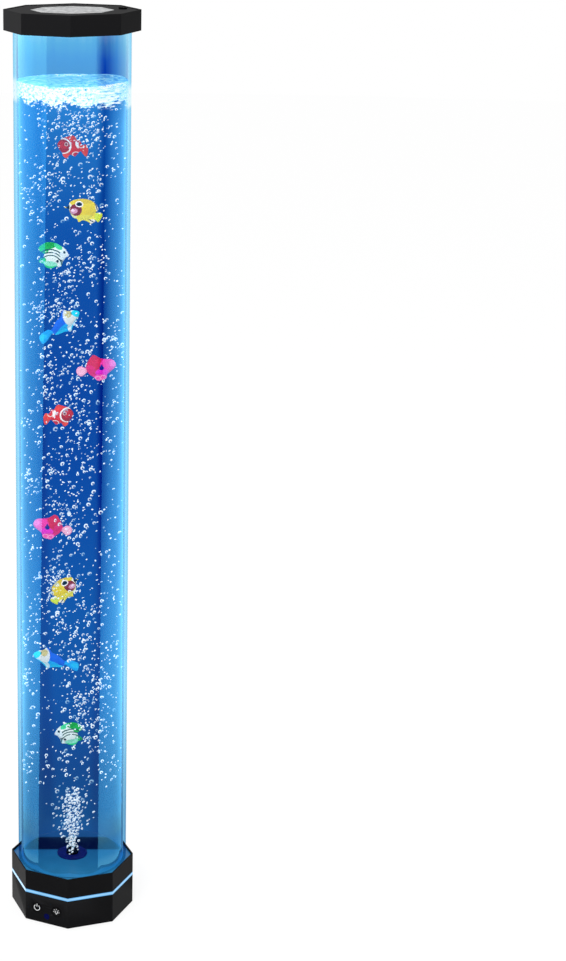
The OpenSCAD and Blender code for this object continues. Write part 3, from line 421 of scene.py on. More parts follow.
def printed_symbol(name, outlines, body, centre_x, centre_z):
    """Extrudes flat outlines, in millimetres round the button's middle, into ink on the button's face."""
    mesh = bmesh.new()
    for outline in outlines:
        near = [mesh.verts.new((centre_x + x * MM, FACE - INK, centre_z + z * MM)) for x, z in outline]
        far = [mesh.verts.new((v.co.x, FACE + INK, v.co.z)) for v in near]
        mesh.faces.new(near)
        mesh.faces.new(far[::-1])
        for i in range(len(near)):
            j = (i + 1) % len(near)
            mesh.faces.new((near[j], near[i], far[i], far[j]))
    bmesh.ops.recalc_face_normals(mesh, faces=mesh.faces)
    data = bpy.data.meshes.new(name)
    mesh.to_mesh(data)
    mesh.free()
    data.materials.append(white_ink)
    made = put_in_scene(name, data)
    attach(made, body)


def arc(radius, width, start, end, steps=28):
    """The outline of a curved stroke, anticlockwise from start to end, in degrees."""
    turns = np.radians(np.linspace(start, end, steps))
    outside = [((radius + width / 2) * math.cos(t), (radius + width / 2) * math.sin(t)) for t in turns]
    inside = [((radius - width / 2) * math.cos(t), (radius - width / 2) * math.sin(t)) for t in turns[::-1]]
    return outside + inside


def stroke(x0, z0, x1, z1, width):
    """The outline of a straight stroke."""
    along = Vector((x1 - x0, z1 - z0)).normalized() * width / 2
    side = Vector((-along.y, along.x))
    return [(x0 + side.x, z0 + side.y), (x0 - side.x, z0 - side.y), (x1 - side.x, z1 - side.y),
            (x1 + side.x, z1 + side.y)]


BUTTON_X, BUTTON_Z = 15 * MM, 22.5 * MM
power_sign = [arc(4.2, 1.0, 128, 412), stroke(0, 1.4, 0, 5.4, 1.0)]
bulb_sign = [arc(1.9, 0.9, -230, 50, 20), stroke(-0.9, -2.2, 0.9, -2.2, 0.7),
             stroke(-0.7, -3.3, 0.7, -3.3, 0.7)]
bulb_sign += [stroke(3.4 * math.cos(t), 3.4 * math.sin(t), 4.8 * math.cos(t), 4.8 * math.sin(t), 0.8)
              for t in np.radians([0, 45, 90, 135, 180])]
printed_symbol("power_symbol", power_sign, "power_button", -BUTTON_X, BUTTON_Z)
printed_symbol("light_symbol", bulb_sign, "light_button", BUTTON_X, BUTTON_Z)
print("buttons' face at y =", round(FACE / MM, 2), "mm")

# %% [markdown]
# ## The acrylic tube
# The tube is extruded from clear acrylic and polished by the die. It is nearly invisible where one looks
# straight through it. At its sides the line of sight runs along the wall, so the wall gathers a pale blue
# and mirrors the room behind. The CAD tube has few facets, so a smooth one is turned from the same numbers
# and takes its place.

# %% Turn the tube
AXIS_SIDES = 256
tube_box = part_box("tube")
TUBE_R, TUBE_LOW, TUBE_TOP = tube_box[1].x, tube_box[0].z, tube_box[1].z
TUBE_WALL = 4 * MM
BORE_R = TUBE_R - TUBE_WALL
LIP = 0.5 * MM


def turned(name, profile, materials, wall_slots):
    """Turns a closed outline of (radius, height) points round the Z axis."""
    count = len(profile)
    turns = np.linspace(0, math.tau, AXIS_SIDES, False)
    points = [(r * math.cos(t), r * math.sin(t), z) for t in turns for r, z in profile]
    faces, slots = [], []
    for side in range(AXIS_SIDES):
        this, following = side * count, (side + 1) % AXIS_SIDES * count
        for i in range(count):
            j = (i + 1) % count
            faces.append((this + i, following + i, following + j, this + j))
            slots.append(wall_slots[i])
    made = new_mesh(name, points, faces, materials, smooth=40)
    made.data.polygons.foreach_set("material_index", slots)
    return made


def lane_place(tree, spot):
    """A point's X along the upright planes that the fish float in, and its Y from the front to the back."""
    turned_space = add(tree, "Mapping", spot, Rotation=(0, 0, -TURN), vector_type="POINT")
    return add(tree, "SeparateXYZ", turned_space).outputs


WATER_TOP = 1151.5 * MM
DIM_FOOT = (100 * MM, 340 * MM)
FOAM_LEAN = 0.06
FROTH_LOW, FROTH_HIGH = (1121 * MM, 1127 * MM), (1145 * MM, 1153 * MM)
clear_wall, tree = new_material("polished_acrylic")
edge_on = add(tree, "LayerWeight", Blend=0.5).outputs["Facing"]
tint = add(tree, "ValToRGB", edge_on, stops=[
    (0.0, (1, 1, 1)), (0.45, (0.98, 0.99, 1)), (0.6, (0.85, 0.96, 1)), (0.7, (0.62, 0.88, 1)),
    (0.83, (0.54, 0.84, 1)), (0.95, (0.6, 0.85, 0.98)), (1.0, (0.75, 0.9, 0.97))])
mirror = add(tree, "ValToRGB", edge_on, stops=[
    (0.0, 0.008), (0.5, 0.012), (0.75, 0.02), (0.9, 0.06), (1.0, 0.3)])
spot = add(tree, "TexCoord").outputs["Object"]
up = add(tree, "SeparateXYZ", spot).outputs["Z"]
# Painted shade: towards the foot the tube is painted darker, most at the sides of the view.
foot = add(tree, "MapRange", up, *DIM_FOOT, 1.0, 0.0, interpolation_type="SMOOTHSTEP")
darker_at_foot = add(tree, "Math", foot, edge_on, operation="MULTIPLY")
depth = add(tree, "Mix", darker_at_foot, tint, (0.55, 0.66, 0.75, 1), data_type="RGBA", blend_type="MULTIPLY")
through = add(tree, "BsdfTransparent", depth)
shine = add(tree, "BsdfGlossy", Color="#BFE2FF", Roughness=0.02)
wall = add(tree, "MixShader", mirror, through, shine)
place = lane_place(tree, spot)
# Near the foam's level the sides of the view show the froth along the wall as a white glow of its own, which
# is painted light.
level = add(tree, "Math", place["X"], FOAM_LEAN, up, operation="MULTIPLY_ADD")
ring_low = add(tree, "MapRange", level, *FROTH_LOW)
ring_high = add(tree, "MapRange", level, *FROTH_HIGH, 1.0, 0.0)
along = add(tree, "MapRange", edge_on, 0.56, 0.7, To_Max=0.95)
froth = add(tree, "TexNoise", spot, Scale=1 / (6 * MM), Detail=3.0)
froth = add(tree, "MapRange", froth, 0.28, 0.44)
share = ring_low
for part in (ring_high, along, froth):
    share = add(tree, "Math", share, part, operation="MULTIPLY")
gathered = add(tree, "Emission", "#E4FAFF")
wall = add(tree, "MixShader", share, wall, gathered)
add(tree, "OutputMaterial", wall)
print("bore", round(2 * BORE_R / MM, 1), "mm across")

# %% [markdown]
# Above the water the tube's far wall is wet and lit from below, so it carries a paler blue glow that fades
# upwards. Only the inner face that looks towards the eye shows it. Lamp light still passes through it.

# %% The wet wall above the water
CARD_IN_WALL = (1.1, 4.2, 4.6, 1)
wet_wall, tree = new_material("wet_acrylic")
spot = add(tree, "TexCoord").outputs["Object"]
up = add(tree, "SeparateXYZ", spot).outputs["Z"]
height = add(tree, "MapRange", up, WATER_TOP, TUBE_TOP)
drips = add(tree, "Mapping", spot, Scale=(1, 1, 0.06))
drips = add(tree, "TexNoise", drips, Scale=1 / (11 * MM), Detail=2.0)
height = add(tree, "Math", drips, 0.5, height, operation="MULTIPLY_ADD", use_clamp=True)
height = add(tree, "Math", height, 0.25, operation="SUBTRACT", use_clamp=True)
fade = add(tree, "ValToRGB", height, stops=[
    (0.0, "#0038AF"), (0.25, "#0A48B8"), (0.5, "#306EBC"), (0.75, "#6993C9"), (1.0, "#8EADD3")])
# Painted light: towards the sides of the view the glow is painted paler and greener.
edge_on = add(tree, "LayerWeight", Blend=0.5).outputs["Facing"]
edges = add(tree, "ValToRGB", edge_on, stops=[
    (0.0, (0, 0, 0)), (0.25, (0, 0, 0)), (0.39, (0.02, 0.08, 0.11)), (0.5, (0.07, 0.15, 0.14)),
    (0.65, (0.15, 0.27, 0.2)), (0.84, (0.42, 0.55, 0.4)), (1.0, (0.55, 0.65, 0.45))])
hue = add(tree, "Mix", 1.0, fade, edges, data_type="RGBA", blend_type="ADD")
glow = add(tree, "Emission", hue)
clear = add(tree, "BsdfTransparent")
seen = seen_rays(tree, "Glossy", "Transmission")
behind = add(tree, "NewGeometry")
above = add(tree, "Math", up, WATER_TOP - 3 * MM, operation="GREATER_THAN")
share = add(tree, "Math", seen, above, operation="MULTIPLY")
glowing_wet_side = add(tree, "MixShader", share, clear, glow)
mirror = add(tree, "Math", above, 0.09, operation="MULTIPLY")
shine = add(tree, "BsdfGlossy", Color=CARD_IN_WALL, Roughness=0.02)
dry_side = add(tree, "MixShader", mirror, clear, shine)
wall = add(tree, "MixShader", behind.outputs["Backfacing"], glowing_wet_side, dry_side)
add(tree, "OutputMaterial", wall)

tube_profile = [(TUBE_R, TUBE_LOW), (TUBE_R, TUBE_TOP - LIP), (TUBE_R - LIP, TUBE_TOP),
                (BORE_R + LIP, TUBE_TOP), (BORE_R, TUBE_TOP - LIP), (BORE_R, TUBE_LOW)]
tube = turned("clear_tube", tube_profile, [clear_wall, wet_wall], [0, 0, 0, 0, 1, 0])
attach(tube, "lamp")
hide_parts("tube")
print("tube", round(2 * TUBE_R / MM, 1), "mm across,", round((TUBE_TOP - TUBE_LOW) / MM, 1), "mm high")

# %% [markdown]
# ## The water
# Water this deep, lit from below, glows blue by itself: that is a colour on its far side. Its near side
# shows only as a thin mirror of the studio's cards. Real refraction would hide the fish behind a distorted
# copy of the room, and would need thousands of samples, so the light goes straight through instead.

# %% Glowing water
WATER_R = BORE_R - 0.05 * MM
RAMP_MM, CARD_IN_WATER = 1200, 4.6


def by_height(table):
    """A ramp's stops from a table of height in mm to colour."""
    return [(height / RAMP_MM, colour) for height, colour in table.items()]


glowing_water, tree = new_material("glowing_water")
spot = add(tree, "TexCoord").outputs["Object"]
up = add(tree, "SeparateXYZ", spot).outputs["Z"]
height = add(tree, "MapRange", up, 0.0, RAMP_MM * MM)
DEEP = {75: "#14468A", 98: "#0C3478", 173: "#0C2878", 274: "#0C3890", 394: "#0A3E98", 489: "#073393",
        620: "#00238B", 717: "#001F87", 905: "#02308E", 1010: "#04429E", 1087: "#0A50AC", 1150: "#1058B2"}
deep = add(tree, "ValToRGB", height, stops=by_height(DEEP))
# Painted light: towards the sides of the view the glow is painted paler, and less so near the foot.
edge_on = add(tree, "LayerWeight", Blend=0.5).outputs["Facing"]
edges = add(tree, "ValToRGB", edge_on, stops=[
    (0.0, (0, 0, 0)), (0.24, (0, 0, 0)), (0.31, (0.008, 0.029, 0.028)), (0.45, (0.025, 0.06, 0.035)),
    (0.59, (0.08, 0.14, 0.04)), (0.67, (0.17, 0.28, 0.14)), (0.75, (0.28, 0.48, 0.42)),
    (0.84, (0.38, 0.78, 0.9)), (1.0, (0.45, 0.9, 1.0))])
rise = add(tree, "MapRange", up, *DIM_FOOT, 0.35)
edges = add(tree, "VectorMath", edges, Scale=rise, operation="SCALE")
hue = add(tree, "Mix", 1.0, deep, edges, data_type="RGBA", blend_type="ADD")
# Painted reflection: a faint light is painted into the middle of the view, standing in for the front card's
# reflection.
face_on = add(tree, "MapRange", edge_on, 0.12, 0.2, 1.0, 0.0, interpolation_type="SMOOTHSTEP")
MIDDLE = {100: (0, 0.02, 0.05), 200: (0, 0.023, 0.062), 460: (0, 0.034, 0.083), 720: (0, 0.024, 0.09),
          950: (0, 0.018, 0.07), 1090: (0.01, 0.072, 0.117)}
middle = add(tree, "ValToRGB", height, stops=by_height(MIDDLE))
hue = add(tree, "Mix", face_on, hue, middle, data_type="RGBA", blend_type="ADD")
glow = add(tree, "Emission", hue)
clear = add(tree, "BsdfTransparent")
seen = seen_rays(tree, "Glossy", "Transmission")
far_side = add(tree, "MixShader", seen, clear, glow)
mirror = add(tree, "ValToRGB", edge_on, stops=[(0.0, 0.07), (0.2, 0.085), (0.5, 0.115), (1.0, 0.3)])
MIRRORED = {88: (0.2, 0.66, 0.88), 97: (0.07, 0.46, 0.8), 112: (0.07, 0.46, 0.8), 126: (0.15, 0.54, 0.72),
            165: (0.08, 0.49, 0.84), 500: (0.055, 0.44, 0.86), RAMP_MM: (0.045, 0.42, 0.9)}
hue = add(tree, "ValToRGB", height, stops=by_height(MIRRORED))
hue = add(tree, "VectorMath", hue, Scale=CARD_IN_WATER, operation="SCALE")
shine = add(tree, "BsdfGlossy", Color=hue, Roughness=0.01)
near_side = add(tree, "MixShader", mirror, clear, shine)
behind = add(tree, "NewGeometry")
sides = add(tree, "MixShader", behind.outputs["Backfacing"], near_side, far_side)
add(tree, "OutputMaterial", sides)
print("the water's blue has", len(DEEP), "stops from", min(DEEP), "to", max(DEEP), "mm high")

# %% [markdown]
# The top of the water heaves where the bubbles break. It is a sheet of ripples three millimetres high,
# mottled with rafts of foam: pale cyan, darker blue where the water shows between them, and white where
# they are thick.

# %% The water's surface
foamy_surface, tree = new_material("foamy_surface")
spot = add(tree, "TexCoord").outputs["Object"]
rafts = add(tree, "TexNoise", spot, Scale=1 / (9 * MM), Detail=6.0, Roughness=0.62, Distortion=0.8)
tone = add(tree, "ValToRGB", rafts, stops=[
    (0.3, "#1F6FCB"), (0.42, "#4BA2EE"), (0.55, "#7CCBFB"), (0.68, "#C8F2FF"), (0.8, "#FFFFFF")])
ripple = add(tree, "Bump", Height=rafts, Distance=1.2 * MM, Strength=0.7)
# The foam's colour also glows a little: painted light from the lamps below.
skin = add(tree, "BsdfPrincipled", Base_Color=tone, Roughness=0.25, IOR=1.333, Emission_Color=tone,
           Emission_Strength=0.45, Normal=ripple)
add(tree, "OutputMaterial", skin)

water_floor, tree = new_material("water_at_the_floor")
spot = add(tree, "TexCoord").outputs["Object"]
wave = add(tree, "TexNoise", spot, Scale=1 / (30 * MM))
tint = add(tree, "Mix", wave, (1, 1, 1, 1), (0.94, 0.98, 1, 1), data_type="RGBA")
clear = add(tree, "BsdfTransparent", tint)
add(tree, "OutputMaterial", clear)


SLOW_WAVE, QUICK_WAVE = 50 * MM, 16 * MM


def ripple_height(x, y):
    """How far the water's surface stands above its mean level at a point, in metres."""
    slow = noise.noise(Vector((x / SLOW_WAVE, y / SLOW_WAVE, 3.7)))
    quick = noise.noise(Vector((x / QUICK_WAVE, y / QUICK_WAVE, 9.1)))
    return (3.4 * slow + 1.1 * quick) * MM


RINGS = 22
turns = np.linspace(0, math.tau, AXIS_SIDES, False)
WATER_LOW = TUBE_LOW + 0.1 * MM
points = [(0, 0, WATER_LOW)]
points += [(WATER_R * math.cos(t), WATER_R * math.sin(t), WATER_LOW) for t in turns]
for ring in range(RINGS):
    r = WATER_R * (RINGS - ring) / RINGS
    circle = [(r * math.cos(t), r * math.sin(t)) for t in turns]
    points += [(x, y, WATER_TOP + ripple_height(x, y)) for x, y in circle]
points.append((0, 0, WATER_TOP + ripple_height(0, 0)))
faces, slots = [], []
for i in range(AXIS_SIDES):
    j = (i + 1) % AXIS_SIDES
    faces.append((0, 1 + j, 1 + i))
    slots.append(2)
    for ring in range(RINGS):
        low, high = 1 + ring * AXIS_SIDES, 1 + (ring + 1) * AXIS_SIDES
        faces.append((low + i, low + j, high + j, high + i))
        slots.append(0 if ring == 0 else 1)
    last = 1 + RINGS * AXIS_SIDES
    faces.append((last + i, last + j, len(points) - 1))
    slots.append(1)
water = new_mesh("lit_water", points, faces, [glowing_water, foamy_surface, water_floor], smooth=40)
water.data.polygons.foreach_set("material_index", slots)
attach(water, "lamp")
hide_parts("water")
print("water", len(faces), "faces, top near", round(WATER_TOP / MM, 1), "mm")

# %% [markdown]
# ## Floor plate and nozzle
# The floor plate is clear cast acrylic over a ring of lamps, so it glows a greener, duller blue than the
# water. A dark band of painted shade crosses it behind the nozzle. The seal under the nozzle is moulded
# silicone, and the nozzle is black nylon, which water keeps glossy.

# %% Lit floor plate
DARK_FRONT, DARK_BACK, DARK_ROUND = (9 * MM, 13 * MM), (47 * MM, 51 * MM), (67 * MM, 70 * MM)
lit_plate, tree = new_material("lit_cast_acrylic")
spot = add(tree, "TexCoord").outputs["Object"]
place = lane_place(tree, spot)
depth = add(tree, "MapRange", place["Y"], -TUBE_R, TUBE_R)
tone = add(tree, "ValToRGB", depth, stops=[
    (0.0, "#2E7FB0"), (0.2, "#2474A6"), (0.5, "#1A6398"), (0.7, "#16508C"), (1.0, "#14468A")])
# Painted shade: a dark band across the plate behind the nozzle, inside the tube.
front_edge = add(tree, "MapRange", place["Y"], *DARK_FRONT)
back_edge = add(tree, "MapRange", place["Y"], *DARK_BACK, 1.0, 0.0)
painted_shade_band = add(tree, "Math", front_edge, back_edge, operation="MULTIPLY")
flat = add(tree, "VectorMath", spot, (1, 1, 0), operation="MULTIPLY")
from_axis = add(tree, "VectorMath", flat, operation="LENGTH")
inside_tube = add(tree, "MapRange", from_axis, *DARK_ROUND, 1.0, 0.0)
painted_shade_band = add(tree, "Math", painted_shade_band, inside_tube, operation="MULTIPLY")
tone = add(tree, "Mix", painted_shade_band, tone, "#00022E", data_type="RGBA")
cloud = add(tree, "TexNoise", spot, Scale=1 / (18 * MM), Detail=3.0)
shine = add(tree, "MapRange", cloud, To_Min=0.75, To_Max=1.05)
plate = add(tree, "BsdfPrincipled", Base_Color="#050E1A", Roughness=0.34, IOR=1.49, Specular_IOR_Level=0.25,
            Emission_Color=tone, Emission_Strength=shine)
add(tree, "OutputMaterial", plate)
dress(lit_plate, "floor_plate")
wet_nylon = moulded_plastic("wet_nylon", "#060608", 0.16, 1.2, 0.02)
dress(wet_nylon, "nozzle")
blue_silicone = moulded_plastic("blue_silicone", "#0A1560", 0.3, 1.0, 0.02, ior=1.41)
dress(blue_silicone, "nozzle_seal")

# %% [markdown]
# ## The fish
# Each fish is cut from the outline that the CAD model uses, filled with small triangles, and blown up on
# both sides: thick over the body's oval and thin over the fins, with a rounded rim. The outlines are in
# millimetres with the head at -X. A point's place on the drawing is stored with it, so the paint follows
# the fish however it is turned.

# %% Fish outlines
RED = [(-19.5, 3.5), (-14, 10.5), (-7.5, 12.5), (-0.5, 14.5), (3, 12.5), (5.5, 8), (9, 8), (12, 2.5),
       (16.5, 3), (19.5, -2.5), (18, -11.5), (14.5, -11), (10, -5.5), (6, -9), (2.5, -12), (-3.5, -10),
       (-7.5, -14.5), (-12, -12), (-13.5, -7.5), (-17.5, -2.5)]
YELLOW = [(-24, 5), (-19.5, 6.5), (-17, 11.5), (-11.5, 14.5), (-2, 16), (7.5, 14.5), (13.5, 11), (18, 5.5),
          (18.5, 1.5), (15.5, -2), (22, -2), (24, -6), (19, -14), (15.5, -11.5), (14.5, -13.5), (9.5, -16),
          (6.5, -14), (-0.5, -11.5), (-6, -14), (-8, -10), (-13, -8), (-16, -3.5), (-19, 3)]
GREEN = [(-19.5, 0), (-14.5, 8.5), (-8, 13), (-2, 16), (7.5, 17), (15.5, 13.5), (19.5, 9), (17, 5),
         (12.5, 2), (13, -2), (16.5, -4.5), (20, -8), (17, -10), (13.5, -10.5), (9.5, -15.5), (3, -17),
         (-3.5, -14.5), (-10, -14), (-12, -8), (-15.5, -3)]
BLUE = [(-32, 0), (-26.5, 6.5), (-21.5, 9), (-16, 14.5), (-8.5, 9.5), (0.5, 8), (11.5, 3), (16.5, 6),
        (30, 5.5), (32.5, -5), (25, -5.5), (14.5, -2), (11, -6.5), (0, -10), (-7.5, -14.5), (-12.5, -11.5),
        (-21, -7.5), (-28.5, -4.5)]
PINK = [(-25.5, 6), (-20.5, 11.5), (-12.5, 12), (-5, 13), (2, 17), (6.5, 15.5), (12, 6), (14, 0), (19, 2),
        (24, 0.5), (26, -4.5), (24, -9.5), (19, -11.5), (14, -8), (11.5, -5.5), (8.5, -9), (4, -12),
        (-1.5, -17), (-7, -16.5), (-13, -14), (-14.5, -8.5), (-20.5, -3), (-24.5, 1)]
KINDS = {"red": (RED, 40, (-3.5, 0.5, 14.5, 10.5)), "yellow": (YELLOW, 48, (-1, 1.5, 16.5, 12.5)),
         "green": (GREEN, 40, (-2, 0, 15, 12)), "blue": (BLUE, 64, (-9, 0, 21, 8.5)),
         "pink": (PINK, 51.5, (-6, 1, 17, 11))}
# Each fish: kind, 1 facing left or -1 right, nose lift in degrees, share of the bore's radius to the right,
# share of the water's height, and lane, counted from the back.
WATER_FOOT, WATER_H, TUBE_IR = 72.5, 1082.5, 71
FISH = {"red_fish_1": ("red", 1, 0, 0.01, 0.912, 0), "red_fish_2": ("red", -1, 0, -0.26, 0.585, 3),
        "yellow_fish_1": ("yellow", 1, 0, 0.20, 0.849, 9),
        "yellow_fish_2": ("yellow", -1, 28, -0.15, 0.354, 2),
        "green_fish_1": ("green", -1, 0, -0.34, 0.789, 5), "green_fish_2": ("green", 1, 0, -0.07, 0.153, 1),
        "blue_fish_1": ("blue", -1, 38, -0.23, 0.700, 4), "blue_fish_2": ("blue", 1, 18, -0.31, 0.281, 8),
        "pink_fish_1": ("pink", -1, 0, 0.44, 0.655, 7), "pink_fish_2": ("pink", 1, 0, -0.37, 0.450, 6)}


def smooth_ring(points, n):
    """A smooth closed line through the points, with n steps between two of them."""
    p = np.array(points, float)
    line = []
    for i in range(len(p)):
        a, b, c, d = p[i - 1], p[i], p[(i + 1) % len(p)], p[(i + 2) % len(p)]
        for t in np.arange(n) / n:
            line.append(0.5 * (2 * b + (c - a) * t + (2 * a - 5 * b + 4 * c - d) * t * t
                               + (3 * b - a - 3 * c + d) * t ** 3))
    return np.array(line)


print({kind: len(facts[0]) for kind, facts in KINDS.items()}, "points in the outlines")

# %% [markdown]
# The triangles join a fine grid of points inside the outline. A point's thickness follows from how far it
# is from the rim, and from where it is in the body's oval.

# %% Blow up a fish
FIN_HALF, BODY_HALF, RIM_HALF = 1.05, 3.9, 0.3
GRID, RIM_WIDE, BODY_RISE = 1.3, 1.6, 3.0


def rim_distance(points, ring):
    """How far each point is from the outline, in mm."""
    a, b = ring, np.roll(ring, -1, 0)
    along = b - a
    t = np.clip(((points[:, None] - a) * along).sum(2) / (along ** 2).sum(1), 0, 1)
    return np.linalg.norm(points[:, None] - (a + t[..., None] * along), axis=2).min(1)


def fish_shape(kind):
    """A kind of fish as flat points, half thicknesses and triangles, in mm, with its drawing's scale."""
    outline, length, oval = KINDS[kind]
    scale = length / np.ptp(np.array(outline)[:, 0])
    ring = smooth_ring(outline, 8) * scale
    lows, highs = ring.min(0), ring.max(0)
    grid = [(x + GRID / 2 * (row % 2), z) for row, z in enumerate(np.arange(lows[1], highs[1], GRID * 0.87))
            for x in np.arange(lows[0], highs[0], GRID)]
    flat, _, triangles, *_ = geometry.delaunay_2d_cdt(
        [Vector(p) for p in np.vstack([ring, grid])], [], [list(range(len(ring)))], 1, 1e-4)
    flat = np.array([tuple(p) for p in flat])
    rim = rim_distance(flat, ring)
    middle, half = np.array(oval[:2]) * scale, np.array(oval[2:]) * scale
    round_off = np.sqrt(np.clip(1 - (1 - np.clip(rim / RIM_WIDE, 0, 1)) ** 2, 0, 1))
    fin = RIM_HALF + (FIN_HALF - RIM_HALF) * round_off
    oval_share = np.clip(1 - (((flat - middle) / half) ** 2).sum(1), 0, 1)
    body = BODY_HALF * np.sqrt(oval_share) * np.clip(rim / BODY_RISE, 0, 1) ** 0.5
    thick = np.where(rim < 1e-3, RIM_HALF, np.maximum(fin, body))
    return flat, thick, triangles, scale


SHAPES = {kind: fish_shape(kind) for kind in KINDS}
print({kind: len(shape[2]) for kind, shape in SHAPES.items()}, "triangles a side")

# %% [markdown]
# ## Painting the fish
# They are moulded in soft PVC and painted by hand through masks, so every patch is a clean oval, band or
# ring with a slightly soft edge, under a clear gloss coat. A fish's paint is a list of such marks, laid
# over each other from first to last: an oval's place, half sizes and turn on the drawing in mm, its colour,
# and, for a ring, its width.

# %% Masks and marks
MARKS = {
    "red": ("#E2382C", [
        ((2, 13, 9, 5, 0), "#F0563C"), ((15, -4, 6, 8, 0), "#EA4A30"),
        ((-9, -12, 6, 4, 0), "#F0604A"), ((2.5, -9.5, 5, 3, 0), "#D42848"),
        ((-11.2, 1.2, 9.4, 9.8, 0), "#FFFFFF"), ((-12.2, 1.2, 8.6, 8.6, 0), "#B01428"),
        ((-13.0, 2.4, 5.5, 5.0, 0), "#CB2434"), ((-16, -4, 4.5, 3, 0), "#A8122E"),
        ((-8.2, 3.8, 2.3, 2.5, 0), "#F4D0D0"), ((-8.3, 3.7, 1.5, 1.7, 0), "#7A0E22"),
        ((5.6, 3.0, 1.9, 4.6, 20), "#FFFFFF"), ((3.8, -9.5, 4.2, 3.4, 0), "#F6E8EC", 0.16),
        ((10.6, 3.5, 3.5, 4.5, 0), "#F4D4D0", 0.13), ((16.8, -5.5, 3.2, 6.8, 8), "#F4764E", 0.12)]),
    "yellow": ("#E6CF2A", [
        ((2, 14, 14, 4, 0), "#D8BE34"), ((2, -9, 12, 5, 0), "#EDE562"),
        ((-14, -6, 6, 5, 30), "#EAF0B4"), ((20, -7, 6, 8, 0), "#D3E552"),
        ((18.8, 3.6, 3.2, 7.2, 22), "#F4F4F0"), ((16.2, 5.8, 0.8, 5.6, 22), "#15151A"),
        ((12.6, -13.6, 5.0, 3.0, -25), "#F4F4F0"), ((10.0, -12.1, 4.4, 0.7, -28), "#15151A"),
        ((-21, 6, 6.5, 5, 0), "#F0F4E0"), ((-20.2, 5, 2.6, 5, 0), "#12122E"),
        ((-24, 5.6, 2.0, 2.0, 0), "#E8E060"),
        ((-9.6, 2.2, 7.6, 7.6, 0), "#861024"), ((-12, 0.6, 4.6, 3.4, 15), "#D698B8"),
        ((-13.4, 1.4, 2.2, 1.6, 0), "#F4D8F0"), ((-5.4, 9.4, 4.9, 3.6, 0), "#FFFFFF"),
        ((-5.4, 9.5, 3.7, 2.5, 0), "#080814")]),
    "green": ("#E4F4F2", [
        ((7, 13.5, 14, 5.6, -14), "#16A838"), ((-6, 11.6, 6, 3.0, 32), "#5AD88E"),
        ((12, 8, 6.5, 5.5, -30), "#27B84C"), ((15, -7, 6, 4.4, -30), "#24C060"),
        ((6, -13.5, 11, 4.6, 8), "#3FD07E"), ((4, -10.5, 9, 3.4, 8), "#8FE6C8"),
        ((-13.5, -9, 6, 5, -40), "#BFEAF6"), ((-16, 1.6, 6, 5, 0), "#DCEAF8"),
        ((3.6, -7.2, 17, 15.2, 0), "#1C4A44", 0.055), ((3.6, -10.0, 15.5, 14.4, 0), "#1C4A44", 0.055),
        ((3.6, -13.0, 14, 13.6, 0), "#1C4A44", 0.055), ((-12.6, -1.0, 4.2, 7.4, 0), "#DCEEF6"),
        ((-13.6, 4.2, 1.6, 1.7, 0), "#12303A"), ((-9.4, -6.0, 3.4, 0.9, 28), "#0B1418"),
        ((-5.0, -7.2, 1.7, 2.0, 0), "#0B1016")]),
    "blue": ("#1173E6", [
        ((-4, -6.6, 14, 5.2, -4), "#18A6F2"), ((4, -7, 9, 2.6, 6), "#35C2F8"),
        ((24, 0, 12, 8, 0), "#17A3F4"), ((27, 1.4, 6, 3.4, 0), "#37BDFA"),
        ((7.5, 7.2, 4.2, 2.0, -32), "#C9C98C"), ((-21, 1, 11.5, 14, 12), "#D9E2E4"),
        ((-10.6, -10.5, 4.6, 6, 30), "#BFE0EC"),
        ((-18.6, 6.6, 4.8, 4.6, 40), "#CBC183"), ((-23.8, 4.2, 1.8, 1.9, 0), "#0E2230"),
        ((-29.5, -1.5, 4.6, 9, -38), "#22D8F4"), ((-17.5, -9.5, 9, 2.2, -24), "#1FC4F2")]),
    "pink": ("#E62A8A", [
        ((2, 5, 10, 14, -12), "#D61A62"), ((8, -4, 7, 8, 0), "#E0307E"),
        ((-16, 5, 11, 8, 0), "#F04CA6"), ((-8, -6, 9, 6, 0), "#EE3AD2"),
        ((-22, 6.6, 5, 4, 0), "#F87CC0"), ((-6, -13, 9, 4.6, 0), "#F56AB4"),
        ((-9.6, -12.4, 3.6, 2.8, 0), "#FA9AD0", 0.22), ((-2.4, -13.6, 3.4, 2.4, 0), "#FA9AD0", 0.22),
        ((19.5, -4.8, 7.4, 7.4, 0), "#F7A2CC"), ((19.5, -4.8, 5.4, 5.4, 0), "#F9B8D8"),
        ((-7.0, 0.6, 3.2, 2.9, 0), "#1E1490"), ((-7.0, 3.4, 1.3, 2.0, 0), "#2A2098")]),
}


def deep_paint(hex_colour):
    """A colour with its weaker channels lowered, because gloss and blue water make paint look paler."""
    colour = linear(hex_colour)[:3]
    return [c * min(1, c / max(colour) / 0.35) ** 0.8 for c in colour] + [1]


